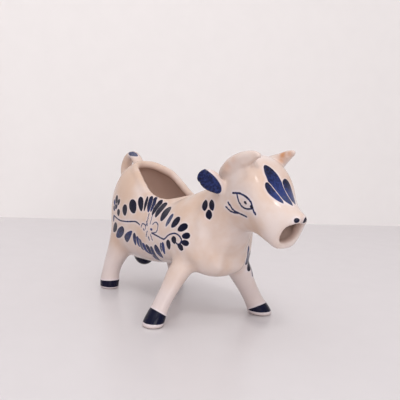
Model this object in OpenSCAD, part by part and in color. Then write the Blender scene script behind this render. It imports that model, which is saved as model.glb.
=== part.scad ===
// Cow creamer: a hollow glazed jug in the shape of a standing cow.
// The back is open for filling, the mouth is the spout and the tail is the grip.
// +X points from tail to nose, +Y to the cow's left, +Z up, and the hooves stand on z = 0.

/* [Body] */
// Length of the body from the rump to the chest
body_l = 104; // [98:1:110]
// Width of the body across the shoulders
body_w = 43.4; // [41:0.2:47]
// Height of the back above the belly
body_h = 55.5; // [52:0.5:59]
// Height of the belly above the table
belly_z = 19.5; // [18:0.5:22]
// Thickness of the fired wall
wall = 3.2; // [2.6:0.1:3.6]

/* [Filling opening] */
// Length of the opening between the middles of its lip
opening_l = 55; // [48:1:58]
// Width of the opening between the middles of its lip
opening_w = 27; // [22:0.5:28]
// Distance from the rump to the back of the lip
opening_back = 12.5; // [11.5:0.5:15]
// Thickness of the rounded lip
lip_t = 4; // [3.6:0.1:4.6]

/* [Head] */
// Length from the top of the neck to the nose
head_l = 47; // [43:1:51]
// Height of the head from the poll to the jaw
head_h = 40; // [37:1:43]
// Width of the head at the back of the neck
head_w = 28.4; // [26:0.2:31]
// Width of the mouth that pours
mouth_w = 10.4; // [9:0.2:11]
// Height of the mouth that pours
mouth_h = 11; // [9:0.2:11.6]
// Downward lean of the spout
spout_lean = 20; // [14:1:26]

/* [Legs] */
// Distance between the middles of the front hooves
front_stance = 63.3; // [58:0.5:68]
// Distance between the middles of the rear hooves
rear_stance = 36; // [33:0.5:39]
// Width of the front right hoof
front_right_hoof_d = 10.8; // [10:0.2:12]
// Width of the front left hoof
front_left_hoof_d = 13.2; // [12:0.2:14]
// Width of the rear right hoof
rear_right_hoof_d = 11; // [10:0.2:12]
// Width of the rear left hoof
rear_left_hoof_d = 10; // [9:0.2:11]
// Place of the front right hoof, as a share of the body's length from the rump
front_hoof_share = 0.776; // [0.756:0.004:0.796]
// Place of the rear right hoof, as a share of the body's length from the rump
rear_hoof_share = 0.096; // [0.085:0.005:0.125]
// How much further forward the front left hoof stands
left_step = 7.2; // [4:0.2:9]
// How much further forward the rear left hoof stands
rear_left_step = 9; // [5:0.5:10]
// How much further out the rear left hoof stands
left_spread = 5.5; // [3:0.5:6]

/* [Horns and ears] */
// Length of a horn along its curve
horn_l = 23.5; // [21:0.5:26]
// Thickness of a horn at its root
horn_d = 11; // [9.5:0.25:12]
// Length of an ear from root to tip
ear_l = 12.4; // [11:0.2:14]
// Width of an ear at its middle
ear_w = 10; // [9:0.2:11.4]
// Thickness of an ear at its middle
ear_t = 3.6; // [3:0.1:4.4]

/* [Tail and udder] */
// How far the tail bows out behind the rump
tail_out = 11; // [10:0.5:12.5]
// Height that the tail rises and falls over
tail_h = 21; // [19:0.5:23]
// Width of the tail strap
tail_w = 7; // [6:0.25:8.5]
// Thickness of the tail strap
tail_t = 5; // [4.2:0.2:5.6]
// Width of the udder
udder_d = 13.6; // [12:0.2:16]
// How far the udder hangs below the belly
udder_drop = 5.3; // [4.5:0.1:7]

/* [Hidden] */
glaze = "#f1e4da";
cobalt = "#2c3f77";

// One overrun serves every cut.
overrun = 2;
// Points round a ring of the skin, of the cavity, of a leg and of a small piece
skin_sides = 36;
cavity_sides = 28;
leg_sides = 20;
small_sides = 14;
// Points round the mouth and the udder
round_sides = 40;
// Points along the lip of the opening and round its section
lip_steps = 44;
lip_sides = 10;

// Stations of the body from rump to neck. Each row has the top line, the bottom line
// and the half width, as shares of body_l, body_h and half of body_w, then the
// fullness of the section and how far its widest level sags.
body_station_shares = [
    [0, 0.63, 0, 0.495, 0.16, 2, 0],
    [0.005, 0.75, 0.01, 0.34, 0.44, 2.05, 0],
    [0.025, 0.855, 0.03, 0.205, 0.645, 2.15, -0.06],
    [0.06, 0.945, 0.07, 0.1, 0.795, 2.2, -0.1],
    [0.115, 0.995, 0.125, 0.03, 0.905, 2.3, -0.12],
    [0.18, 1.005, 0.195, 0, 0.965, 2.3, -0.14],
    [0.245, 0.99, 0.26, 0, 0.99, 2.3, -0.14],
    [0.32, 0.915, 0.335, 0.01, 1, 2.3, -0.14],
    [0.405, 0.81, 0.425, 0.025, 1, 2.3, -0.12],
    [0.51, 0.745, 0.54, 0.055, 1, 2.3, -0.08],
    [0.61, 0.735, 0.665, 0.07, 0.995, 2.3, -0.04],
    [0.685, 0.775, 0.77, 0.065, 0.98, 2.3, 0],
    [0.75, 0.825, 0.88, 0.08, 0.93, 2.25, 0],
    [0.81, 0.88, 0.932, 0.16, 0.775, 2.2, 0],
    [0.865, 0.945, 0.945, 0.295, 0.68, 2.15, 0],
    [0.925, 1.02, 0.982, 0.425, 0.63, 2.1, 0]];

// Stations of the head from poll to nose, measured from the top of the neck seam,
// as shares of head_l, head_h and half of head_w.
head_station_shares = [
    [0.14, 0.13, 0.225, -0.692, 0.965, 2.15, 0.08],
    [0.295, 0.227, 0.34, -0.655, 0.99, 2.1, 0.17],
    [0.45, 0.197, 0.455, -0.668, 0.975, 2.02, 0.23],
    [0.583, 0.062, 0.545, -0.7, 0.916, 2, 0.24],
    [0.685, -0.095, 0.615, -0.728, 0.8, 2, 0.1],
    [0.79, -0.219, 0.67, -0.747, 0.686, 2, -0.06],
    [0.882, -0.303, 0.71, -0.76, 0.59, 2.1, -0.18],
    [0.95, -0.344, 0.73, -0.766, 0.505, 2.2, -0.27],
    [0.981, -0.364, 0.74, -0.769, 0.458, 2.35, -0.31],
    [0.965, -0.395, 0.75, -0.755, 0.44, 2.3, -0.3],
    [0.92, -0.41, 0.765, -0.73, 0.425, 2.2, -0.2]];

// The body ends and the head begins at the last body station.
neck_station = len(body_station_shares) - 1;
neck_share = body_station_shares[neck_station];
// The origin is midway between the bow of the tail and the nose.
nose_share = max([for (s = head_station_shares) s[0]]);
rump_x = -(neck_share[0] * body_l + nose_share * head_l - tail_out) / 2;
neck_x = rump_x + neck_share[0] * body_l;
neck_z = belly_z + neck_share[1] * body_h;

function body_row(s) = [rump_x + s[0] * body_l, belly_z + s[1] * body_h,
    rump_x + s[2] * body_l, belly_z + s[3] * body_h, s[4] * body_w / 2, s[5], s[6]];
function head_row(s) = [neck_x + s[0] * head_l, neck_z + s[1] * head_h,
    neck_x + s[2] * head_l, neck_z + s[3] * head_h, s[4] * head_w / 2, s[5], s[6]];
skin_rows = concat([for (s = body_station_shares) body_row(s)],
    [for (s = head_station_shares) head_row(s)]);
nose_station = len(skin_rows) - 1;

// A smooth curve through rows of numbers: whole t gives the rows themselves.
function smooth(a, b, c, d, u) = b + (c - a) * u / 2
    + (2 * a - 5 * b + 4 * c - d) * u * u / 2 + (3 * b - a - 3 * c + d) * u * u * u / 2;
function row_at(rows, t) = let (last = len(rows) - 1, i = max(0, min(floor(t), last - 1)))
    smooth(rows[max(i - 1, 0)], rows[i], rows[i + 1], rows[min(i + 2, last)], t - i);

// The skin's station at t, moved inwards by an inset that is measured square to it.
tangent_step = 0.05;
function unit(v) = v / norm(v);
function inset_row(t, inset) = let (
    here = row_at(skin_rows, t),
    ahead = row_at(skin_rows, min(t + tangent_step, nose_station)),
    behind = row_at(skin_rows, max(t - tangent_step, 0)),
    d = ahead - behind,
    top = unit([d[0], d[1]]),
    bottom = unit([d[2], d[3]]),
    along = norm([d[0] + d[2], d[1] + d[3]]) / 2,
    side = unit([along, d[4]]))
    [here[0] + inset * top[1], here[1] - inset * top[0],
        here[2] - inset * bottom[1], here[3] + inset * bottom[0],
        here[4] - inset * side[0], here[5], here[6]];

// A point of a section, from the share of its half width and of its half height.
function section_point(row, across, up) = let (lift = (1 + up + row[6] * (1 - up * up)) / 2)
    [row[2] + (row[0] - row[2]) * lift, row[4] * across, row[3] + (row[1] - row[3]) * lift];
function rounded(value, fullness) = sign(value) * pow(abs(value), 2 / fullness);
function section_ring(row, sides) = [for (i = [0:sides - 1]) let (a = 360 * i / sides)
    section_point(row, rounded(cos(a), row[5]), rounded(sin(a), row[5]))];

// Faces of a skin over m rings of n points, with a flat face at each end.
function skin_faces(m, n) = concat(
    [[for (i = [0:n - 1]) i]],
    [for (j = [0:m - 2], i = [0:n - 1]) let (k = (i + 1) % n)
        each [[j * n + i, (j + 1) * n + i, j * n + k],
            [j * n + k, (j + 1) * n + i, (j + 1) * n + k]]],
    [[for (i = [n - 1:-1:0]) (m - 1) * n + i]]);
// Faces of a tube whose last ring meets its first.
function loop_faces(m, n) = [for (j = [0:m - 1], i = [0:n - 1])
    let (k = (i + 1) % n, next = (j + 1) % m)
        each [[j * n + i, next * n + i, j * n + k], [j * n + k, next * n + i, next * n + k]]];

module skin_of(rings) {
    polyhedron([for (ring = rings) each ring], skin_faces(len(rings), len(rings[0])));
}

// Solid outer form of the cow between two stations.
skin_step = 0.5;
module outer_form(from, to) {
    skin_of([for (t = [from:skin_step:to]) section_ring(inset_row(t, 0), skin_sides)]);
}

// Hollow of the cow between two stations.
cavity_step = 0.75;
cavity_end = 21.75;
module cavity_form(from, to) {
    skin_of([for (t = [from:cavity_step:to]) section_ring(inset_row(t, wall), cavity_sides)]);
}

// The opening is a squarish egg, a little fuller towards the neck, that follows the back.
opening_egg_share = -0.09;
opening_square_share = 0.27;
opening_mid_x = rump_x + opening_back + opening_l / 2;
search_steps = 14;
function station_at(x, low, high, steps) = let (mid = (low + high) / 2)
    steps == 0 ? mid
    : row_at(skin_rows, mid)[0] < x ? station_at(x, mid, high, steps - 1)
    : station_at(x, low, mid, steps - 1);
function lip_point(phi) = let (
    x = opening_mid_x - opening_l / 2 * cos(phi),
    wider = 1 + opening_egg_share * cos(phi) + opening_square_share * pow(cos(phi), 2),
    y = opening_w / 2 * sin(phi) * wider,
    row = inset_row(station_at(x, 0, neck_station, search_steps), wall / 2),
    across = y / row[4],
    up = pow(1 - pow(abs(across), row[5]), 1 / row[5]))
    section_point(row, across, up);
lip_path = [for (i = [0:lip_steps - 1]) lip_point(360 * i / lip_steps)];

module opening_cut() {
    translate([0, 0, belly_z + body_h / 2])
        linear_extrude(body_h)
            polygon([for (p = lip_path) [p[0], p[1]]]);
}

// Rounded lip that runs round the opening, half inside and half outside the wall.
module lip() {
    rings = [for (i = [0:lip_steps - 1]) let (
        p = lip_path[i],
        way = unit(lip_path[(i + 1) % lip_steps] - lip_path[(i + lip_steps - 1) % lip_steps]),
        side = unit(cross([0, 0, 1], way)),
        up = cross(way, side))
        [for (k = [0:lip_sides - 1]) let (a = 360 * k / lip_sides)
            p + lip_t / 2 * (cos(a) * side + sin(a) * up)]];
    polyhedron([for (ring = rings) each ring], loop_faces(lip_steps, lip_sides));
}

module body_shell() {
    color(glaze) {
        difference() {
            outer_form(0, neck_station);
            cavity_form(0, neck_station + cavity_step);
            opening_cut();
        }
        lip();
    }
}

// The spout's bore starts at the mouth and leans back up into the head.
mouth_station = nose_station;
mouth_row = skin_rows[mouth_station];
mouth_x = (mouth_row[0] + mouth_row[2]) / 2;
mouth_z = (mouth_row[1] + mouth_row[3]) / 2;
spout_l = head_l / 3;
module head_shell() {
    color(glaze)
        difference() {
            outer_form(neck_station, nose_station);
            cavity_form(neck_station - cavity_step, cavity_end);
            translate([mouth_x, 0, mouth_z])
                rotate([0, spout_lean - 90, 0])
                    scale([mouth_h / mouth_w, 1, 1])
                        translate([0, 0, -overrun])
                            cylinder(d = mouth_w, h = spout_l + overrun, $fn = round_sides);
        }
}

// Rings of a leg from the table up: height as a share of the belly's height, lean
// towards the body as a share of the reach, forward lean, thickness along and across.
front_leg_shares = [
    [0, 0, 0, 0.86, 0.86], [0.065, 0.02, 0, 0.97, 0.97], [0.255, 0.12, -0.03, 0.92, 0.92],
    [0.465, 0.27, -0.07, 0.82, 0.84], [0.72, 0.45, -0.08, 0.84, 0.86],
    [1.025, 0.67, -0.08, 0.95, 0.95], [1.33, 0.88, -0.06, 1.14, 1.12],
    [1.64, 1.12, 0, 1.24, 1.15], [1.95, 1.35, 0.05, 1.2, 1.1]];
rear_leg_shares = [
    [0, 0, 0, 0.86, 0.86], [0.065, 0, 0, 0.97, 0.97], [0.255, 0.02, 0, 1, 1],
    [0.465, 0.08, 0, 0.94, 0.94], [0.72, 0.27, 0.03, 1, 1],
    [1.025, 0.6, 0.1, 1.35, 1.15], [1.33, 0.88, 0.25, 1.7, 1.35],
    [1.64, 1.05, 0.4, 2, 1.45], [1.95, 1.2, 0.5, 2, 1.35]];
leg_step = 0.5;
// How far a leg comes in on its way up, and how far forward it leans
front_leg_in = 17;
rear_leg_in = 6.5;
leg_lean = 12;
// The left legs stand out further, so they come in further.
front_left_in = front_leg_in * 1.06;
rear_left_in = rear_leg_in + left_spread / 3;
// Share of its step that the front left leg takes back on its way up
step_back_share = 0.35;
// The wider front hoof stands nearer to the middle, so the outer sides match.
front_shift = (front_left_hoof_d - front_right_hoof_d) / 4;

module leg(shares, hoof_d, hoof_x, hoof_y, come_in, back, side) {
    skin_of([for (t = [0:leg_step:len(shares) - 1]) let (
        s = row_at(shares, t),
        x = hoof_x + s[2] * leg_lean - s[1] * back,
        y = side * (hoof_y - s[1] * come_in))
        [for (i = [0:leg_sides - 1]) let (a = 360 * i / leg_sides)
            [x + s[3] * hoof_d / 2 * cos(a), y + s[4] * hoof_d / 2 * sin(a), s[0] * belly_z]]]);
}

front_x = rump_x + front_hoof_share * body_l;
front_leg_from = 8;
front_leg_to = 14;
module front_left_leg() {
    color(glaze)
        difference() {
            leg(front_leg_shares, front_left_hoof_d, front_x + left_step,
                front_stance / 2 - front_shift, front_left_in, left_step * step_back_share, 1);
            outer_form(front_leg_from, front_leg_to);
        }
}
module front_right_leg() {
    color(glaze)
        difference() {
            leg(front_leg_shares, front_right_hoof_d, front_x,
                front_stance / 2 + front_shift, front_leg_in, 0, -1);
            outer_form(front_leg_from, front_leg_to);
        }
}

rear_x = rump_x + rear_hoof_share * body_l;
rear_leg_from = 1;
rear_leg_to = 8;
module rear_left_leg() {
    color(glaze)
        difference() {
            leg(rear_leg_shares, rear_left_hoof_d, rear_x + rear_left_step,
                rear_stance / 2 + left_spread, rear_left_in, 0, 1);
            outer_form(rear_leg_from, rear_leg_to);
        }
}
module rear_right_leg() {
    color(glaze)
        difference() {
            leg(rear_leg_shares, rear_right_hoof_d, rear_x, rear_stance / 2, rear_leg_in, 0, -1);
            outer_form(rear_leg_from, rear_leg_to);
        }
}

// A tapering tube along a curve. Each row has a place, a half width along the side
// direction and a half thickness square to it.
module swept(rows, side_hint, step, sides) {
    last = len(rows) - 1;
    skin_of([for (t = [0:step:last]) let (
        row = row_at(rows, t),
        ahead = row_at(rows, min(t + tangent_step, last)),
        behind = row_at(rows, max(t - tangent_step, 0)),
        way = unit([for (k = [0:2]) ahead[k] - behind[k]]),
        up = unit(cross(way, side_hint)),
        side = cross(up, way))
        [for (i = [0:sides - 1]) let (a = 360 * i / sides)
            [row[0], row[1], row[2]] + row[3] * cos(a) * side + row[4] * sin(a) * up]]);
}

small_step = 0.5;
// Stations between which the horns and ears stand
shoulder_station = neck_station - 1;
cheek_station = neck_station + 4;

// A horn grows from beside the poll, out and forward, with its tip turned in.
poll_row = skin_rows[neck_station + 1];
horn_shares = [
    [0, 0, 0, 1], [0.255, 0.09, 0.165, 0.9], [0.53, 0.13, 0.32, 0.62],
    [0.765, 0.115, 0.44, 0.4], [0.86, 0.095, 0.485, 0.22]];
horn_side_share = 0.6;
module horn(side) {
    color(glaze)
        difference() {
            swept([for (s = horn_shares)
                [poll_row[0] + s[0] * horn_l, side * (poll_row[4] * horn_side_share + s[1] * horn_l),
                    poll_row[1] - horn_d / 2 + s[2] * horn_l, s[3] * horn_d / 2, s[3] * horn_d / 2]],
                [0, 1, 0], small_step, small_sides);
            outer_form(neck_station, cheek_station);
        }
}
module left_horn() {
    horn(1);
}
module right_horn() {
    horn(-1);
}

// An ear is a thick leaf that stands out from behind the cheek.
ear_shares = [
    [0.15, 0, -0.18, 0.58, 0.9], [0.04, 0.27, -0.02, 0.8, 1], [-0.08, 0.54, 0.15, 1, 1],
    [-0.2, 0.8, 0.32, 0.82, 0.85], [-0.26, 0.95, 0.41, 0.36, 0.45]];
// The way the broad face of an ear is turned
ear_way = [0.2, 0.35, 0.9];
ear_side_share = 0.8;
ear_height_share = 0.285;
module ear(side) {
    color(cobalt)
        difference() {
            swept([for (s = ear_shares)
                [poll_row[0] + s[0] * ear_l, side * (poll_row[4] * ear_side_share + s[1] * ear_l),
                    poll_row[1] - head_h * ear_height_share + s[2] * ear_l,
                    s[3] * ear_w / 2, s[4] * ear_t / 2]],
                [ear_way[0], side * ear_way[1], ear_way[2]], small_step, small_sides);
            outer_form(shoulder_station, cheek_station);
        }
}
module left_ear() {
    ear(1);
}
module right_ear() {
    ear(-1);
}

// The tail rises from the back of the lip, bows out and comes down on the rump.
tail_shares = [
    [1.3, 0.66, 1], [0.93, 0.81, 0.98], [0.57, 0.93, 0.95], [0.12, 1, 0.92], [-0.33, 0.99, 0.92],
    [-0.75, 0.87, 0.95], [-1, 0.65, 1], [-0.9, 0.42, 1], [-0.47, 0.2, 1.1], [0.24, 0.02, 1.15]];
tail_base_share = 0.66;
tail_reach = tail_out - tail_t / 2;
tail_foot_z = belly_z + tail_base_share * body_h;
lip_station = 6;
module tail_handle() {
    color(glaze)
        difference() {
            swept([for (s = tail_shares)
                [rump_x + s[0] * tail_reach, 0, tail_foot_z + s[1] * tail_h,
                    s[2] * tail_w / 2, s[2] * tail_t / 2]],
                [0, 1, 0], small_step, small_sides);
            outer_form(0, lip_station);
        }
}

// Stations of the belly between which the udder sits
udder_from = 2;
udder_to = 8;
udder_share = 0.175;
udder_x = rump_x + body_l * udder_share;
module udder() {
    color(cobalt)
        difference() {
            translate([udder_x, 0, belly_z + wall])
                rotate_extrude($fn = round_sides)
                    intersection() {
                        scale([udder_d / 2, udder_drop + wall]) circle(r = 1, $fn = round_sides);
                        translate([0, -body_h]) square([udder_d, body_h]);
                    }
            outer_form(udder_from, udder_to);
        }
}

body_shell();
head_shell();
front_left_leg();
front_right_leg();
rear_left_leg();
rear_right_leg();
left_horn();
right_horn();
left_ear();
right_ear();
tail_handle();
udder();
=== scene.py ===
"""Cow creamer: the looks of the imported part.

The whole jug is worked out as one smooth form, a signed distance in millimetres on a grid, so
that the slip that joins the limbs runs in soft fillets. Its surface is then cut along the luting
seams into the pieces that the solids have. +X points from tail to nose, +Y to the cow's left and
+Z up.
"""

import logging
from dataclasses import dataclass
from enum import Enum
from typing import Any, Callable

import bpy
import numpy as np
from mathutils import Matrix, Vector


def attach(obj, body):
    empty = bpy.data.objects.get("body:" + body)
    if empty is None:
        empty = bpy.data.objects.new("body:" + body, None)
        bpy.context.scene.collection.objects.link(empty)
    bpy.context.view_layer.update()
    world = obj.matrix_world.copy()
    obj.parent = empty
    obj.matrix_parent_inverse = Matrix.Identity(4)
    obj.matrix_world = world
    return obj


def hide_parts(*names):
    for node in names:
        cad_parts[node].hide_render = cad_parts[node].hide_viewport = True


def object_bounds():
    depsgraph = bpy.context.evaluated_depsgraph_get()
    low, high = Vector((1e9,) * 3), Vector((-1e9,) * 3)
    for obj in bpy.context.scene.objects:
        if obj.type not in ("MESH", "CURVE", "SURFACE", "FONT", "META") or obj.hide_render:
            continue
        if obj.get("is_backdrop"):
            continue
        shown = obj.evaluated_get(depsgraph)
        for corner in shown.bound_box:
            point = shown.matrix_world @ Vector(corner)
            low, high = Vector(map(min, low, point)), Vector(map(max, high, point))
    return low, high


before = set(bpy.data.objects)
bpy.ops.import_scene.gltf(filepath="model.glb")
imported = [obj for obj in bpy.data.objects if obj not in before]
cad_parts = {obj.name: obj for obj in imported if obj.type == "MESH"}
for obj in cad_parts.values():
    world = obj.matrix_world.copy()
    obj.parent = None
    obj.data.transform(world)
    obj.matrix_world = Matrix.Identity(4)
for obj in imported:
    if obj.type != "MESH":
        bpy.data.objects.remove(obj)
CAD_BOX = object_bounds()

Array = np.ndarray
Pixel = tuple[float, float]
MM = 0.001
LEFT, RIGHT = 1, -1
MIRROR = np.array((1, -1, 1))
OUTSIDE = 50.0
MARGIN = 4.0
LEAST_LENGTH = 1e-9
STEP, QUICK_STEP = 0.8, 0.95
log = logging.getLogger("cow_creamer")


class Piece(Enum):
    """The pieces that are luted together, by the names that the solids have."""

    BODY = "body_shell"
    HEAD = "head_shell"
    FRONT_LEFT_LEG = "front_left_leg"
    FRONT_RIGHT_LEG = "front_right_leg"
    REAR_LEFT_LEG = "rear_left_leg"
    REAR_RIGHT_LEG = "rear_right_leg"
    LEFT_HORN = "left_horn"
    RIGHT_HORN = "right_horn"
    LEFT_EAR = "left_ear"
    RIGHT_EAR = "right_ear"
    TAIL = "tail_handle"
    UDDER = "udder"


@dataclass(frozen=True)
class Sizes:
    """Driving sizes of the jug in millimetres, and shares of them, as the solids have them."""

    body_l: float = 104.0
    body_w: float = 43.4
    body_h: float = 55.5
    belly_z: float = 19.5
    wall: float = 3.2
    opening_l: float = 55.0
    opening_w: float = 27.0
    opening_back: float = 12.5
    opening_egg_share: float = -0.09
    opening_square_share: float = 0.27
    lip_t: float = 4.0
    head_l: float = 47.0
    head_h: float = 40.0
    head_w: float = 28.4
    mouth_w: float = 10.4
    mouth_h: float = 11.0
    spout_lean: float = 20.0
    front_stance: float = 63.3
    rear_stance: float = 36.0
    front_right_hoof_d: float = 10.8
    front_left_hoof_d: float = 13.2
    rear_right_hoof_d: float = 11.0
    rear_left_hoof_d: float = 10.0
    front_hoof_share: float = 0.776
    rear_hoof_share: float = 0.096
    left_step: float = 7.2
    rear_left_step: float = 9.0
    left_spread: float = 5.5
    front_leg_in: float = 17.0
    rear_leg_in: float = 6.5
    leg_lean: float = 12.0
    step_back_share: float = 0.35
    horn_l: float = 23.5
    horn_d: float = 11.0
    ear_l: float = 12.4
    ear_w: float = 10.0
    ear_t: float = 3.6
    tail_out: float = 11.0
    tail_h: float = 21.0
    tail_w: float = 7.0
    tail_t: float = 5.0
    udder_d: float = 13.6
    udder_drop: float = 5.3

    @property
    def neck_x(self) -> float:
        """Place of the top of the neck seam along the cow."""
        return self.rump_x + BODY_STATION_SHARES[-1][0] * self.body_l

    @property
    def neck_z(self) -> float:
        """Height of the top of the neck seam."""
        return self.belly_z + BODY_STATION_SHARES[-1][1] * self.body_h

    @property
    def rump_x(self) -> float:
        """Place of the rump: the origin is midway between the bow of the tail and the nose."""
        neck = BODY_STATION_SHARES[-1][0] * self.body_l
        nose = max(share[0] for share in HEAD_STATION_SHARES) * self.head_l
        return -(neck + nose - self.tail_out) / 2


# Stations of the body from rump to neck: top line and bottom line as shares of the body's length
# and height, half width as a share of half the body's width, fullness of the section, and sag of
# its widest level.
BODY_STATION_SHARES = (
    (0, 0.63, 0, 0.495, 0.16, 2, 0),
    (0.005, 0.75, 0.01, 0.34, 0.44, 2.05, 0),
    (0.025, 0.855, 0.03, 0.205, 0.645, 2.15, -0.06),
    (0.06, 0.945, 0.07, 0.1, 0.795, 2.2, -0.1),
    (0.115, 0.995, 0.125, 0.03, 0.905, 2.3, -0.12),
    (0.18, 1.005, 0.195, 0, 0.965, 2.3, -0.14),
    (0.245, 0.99, 0.26, 0, 0.99, 2.3, -0.14),
    (0.32, 0.915, 0.335, 0.01, 1, 2.3, -0.14),
    (0.405, 0.81, 0.425, 0.03, 1, 2.3, -0.12),
    (0.51, 0.745, 0.54, 0.07, 1, 2.3, -0.08),
    (0.61, 0.735, 0.665, 0.09, 0.995, 2.3, -0.04),
    (0.685, 0.775, 0.77, 0.08, 0.98, 2.3, 0),
    (0.75, 0.825, 0.88, 0.08, 0.93, 2.25, 0),
    (0.81, 0.88, 0.932, 0.16, 0.775, 2.2, 0),
    (0.865, 0.945, 0.945, 0.295, 0.68, 2.15, 0),
    (0.925, 1.02, 0.982, 0.425, 0.63, 2.1, 0),
)
# Stations of the head from poll to nose, as shares of its sizes from the top of the neck seam.
HEAD_STATION_SHARES = (
    (0.14, 0.13, 0.225, -0.692, 0.965, 2.15, 0.08),
    (0.295, 0.227, 0.34, -0.655, 0.99, 2.1, 0.17),
    (0.45, 0.197, 0.455, -0.668, 0.975, 2.02, 0.23),
    (0.583, 0.062, 0.545, -0.7, 0.916, 2, 0.24),
    (0.685, -0.095, 0.615, -0.728, 0.8, 2, 0.1),
    (0.79, -0.219, 0.67, -0.747, 0.686, 2, -0.06),
    (0.882, -0.303, 0.71, -0.76, 0.59, 2.1, -0.18),
    (0.95, -0.344, 0.73, -0.766, 0.505, 2.2, -0.27),
    (0.981, -0.364, 0.74, -0.769, 0.458, 2.35, -0.31),
)
# Rings of a leg from the table up: height, lean inwards, lean forwards, thickness both ways.
FRONT_LEG_SHARES = (
    (0, 0, 0, 0.86, 0.86), (0.065, 0.02, 0, 0.97, 0.97), (0.255, 0.12, -0.03, 0.92, 0.92),
    (0.465, 0.27, -0.07, 0.82, 0.84), (0.72, 0.45, -0.08, 0.84, 0.86),
    (1.025, 0.67, -0.08, 0.95, 0.95), (1.33, 0.88, -0.06, 1.14, 1.12),
    (1.64, 1.12, 0, 1.24, 1.15), (1.95, 1.35, 0.05, 1.2, 1.1),
)
REAR_LEG_SHARES = (
    (0, 0, 0, 0.86, 0.86), (0.065, 0, 0, 0.97, 0.97), (0.255, 0.02, 0, 1, 1),
    (0.465, 0.08, 0, 0.94, 0.94), (0.72, 0.27, 0.03, 1, 1), (1.025, 0.6, 0.1, 1.35, 1.15),
    (1.33, 0.88, 0.25, 1.7, 1.35), (1.64, 1.05, 0.4, 2, 1.45), (1.95, 1.2, 0.5, 2, 1.35),
)
# Places along a horn, an ear and the tail, then half width and half thickness.
HORN_SHARES = (
    (0, 0, 0, 1, 1), (0.255, 0.09, 0.165, 0.9, 0.9), (0.53, 0.13, 0.32, 0.62, 0.62),
    (0.765, 0.115, 0.44, 0.4, 0.4), (0.86, 0.095, 0.485, 0.22, 0.22),
)
# The near horn droops a little more than the far one.
RIGHT_HORN_SHARES = HORN_SHARES[:2] + (
    (0.53, 0.13, 0.315, 0.65, 0.65), (0.765, 0.115, 0.395, 0.42, 0.42),
    (0.86, 0.095, 0.405, 0.25, 0.25),
)
EAR_SHARES = (
    (0.15, 0, -0.18, 0.58, 0.9), (0.04, 0.27, -0.02, 0.8, 1), (-0.08, 0.54, 0.15, 1, 1),
    (-0.18, 0.76, 0.3, 0.93, 0.9), (-0.23, 0.87, 0.36, 0.74, 0.7),
)
TAIL_SHARES = (
    (1.3, 0, 0.55, 1, 1), (0.93, 0, 0.73, 0.98, 0.98), (0.57, 0, 0.9, 0.95, 0.95),
    (0.12, 0, 1.02, 0.92, 0.92), (-0.33, 0, 1.025, 0.92, 0.92), (-0.75, 0, 0.89, 0.95, 0.95),
    (-1, 0, 0.65, 1, 1), (-0.9, 0, 0.42, 1, 1), (-0.47, 0, 0.2, 1.1, 1.1),
    (0.24, 0, 0.02, 1.15, 1.15),
)
# Where limbs start, as shares of the sizes that carry them, and how the broad hoof's leg leans.
HORN_OUT, EAR_OUT, EAR_DOWN = 0.6, 0.8, 0.285
TAIL_FOOT, UDDER_PLACE = 0.66, 0.175
BROAD_LEG_REACH, SPREAD_LEG_REACH = 1.06, 1 / 3
EAR_LEAN = (0.2, 0.35, 0.9)


def smooth_rows(rows: Array, t: Array) -> Array:
    """Rows at fractional places, on the smooth curve that runs through all rows.

    Between rows b and c, with a before and d after, the curve is the cubic that leaves b along
    (c - a) / 2 and reaches c along (d - b) / 2. At either end the end row stands in for the
    missing one.

    Args:
        rows: the rows of numbers that the curve runs through.
        t: places, where a whole number gives a row itself.

    Returns:
        One row for each place.
    """
    last = len(rows) - 1
    start = np.clip(np.floor(t).astype(int), 0, last - 1)
    u = (t - start)[..., None]
    a, b = rows[np.maximum(start - 1, 0)], rows[start]
    c, d = rows[start + 1], rows[np.minimum(start + 2, last)]
    bend = (2 * a - 5 * b + 4 * c - d) * u**2 / 2
    return b + (c - a) * u / 2 + bend + (3 * b - a - 3 * c + d) * u**3 / 2


def smooth_curve(rows: Any, count: int) -> Array:
    """Evenly spaced rows on the smooth curve that runs through the given ones."""
    rows = np.array(rows, float)
    return smooth_rows(rows, np.linspace(0, len(rows) - 1, count))


def soft_min(a: Array, b: Array, fillet: float) -> Array:
    """Union of two distances: where they differ by less than the fillet, a parabola joins them."""
    share = np.clip(0.5 + (b - a) / (2 * fillet), 0, 1)
    return b + (a - b) * share - fillet * share * (1 - share)


def soft_max(a: Array, b: Array, fillet: float) -> Array:
    """Intersection of two distances with a rounded edge, as soft_min gives for a union."""
    return -soft_min(-a, -b, fillet)


def unit(v: Array) -> Array:
    """The vectors of an array at length one."""
    return v / np.maximum(np.linalg.norm(v, axis=-1, keepdims=True), LEAST_LENGTH)


def ramp(values: Array, start: float, end: float) -> Array:
    """0 up to the start, 1 from the end on and a straight line between."""
    return np.clip((values - start) / (end - start), 0, 1)


def face_normals(points: Array, faces: Array) -> Array:
    """The normals of some triangles, each as long as twice the triangle's area."""
    a, b, c = (points[faces[:, k]] for k in range(3))
    return np.cross(b - a, c - a)


def from_corner(rows: Array, corner: Array) -> Array:
    """Rows of three, each turned round so that it starts at its own given corner."""
    return np.take_along_axis(rows, (corner[:, None] + np.arange(3)) % 3, axis=1)


def shared(first: tuple, second: tuple) -> tuple[tuple, tuple] | None:
    """Where two windows of one lattice overlap, as slices of each, or None where they don't."""
    both = [slice(max(a.start, b.start), min(a.stop, b.stop)) for a, b in zip(first, second)]
    if any(b.stop <= b.start for b in both):
        return None
    here, there = (tuple(slice(b.start - a.start, b.stop - a.start) for a, b in zip(own, both))
                   for own in (first, second))
    return here, there


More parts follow.
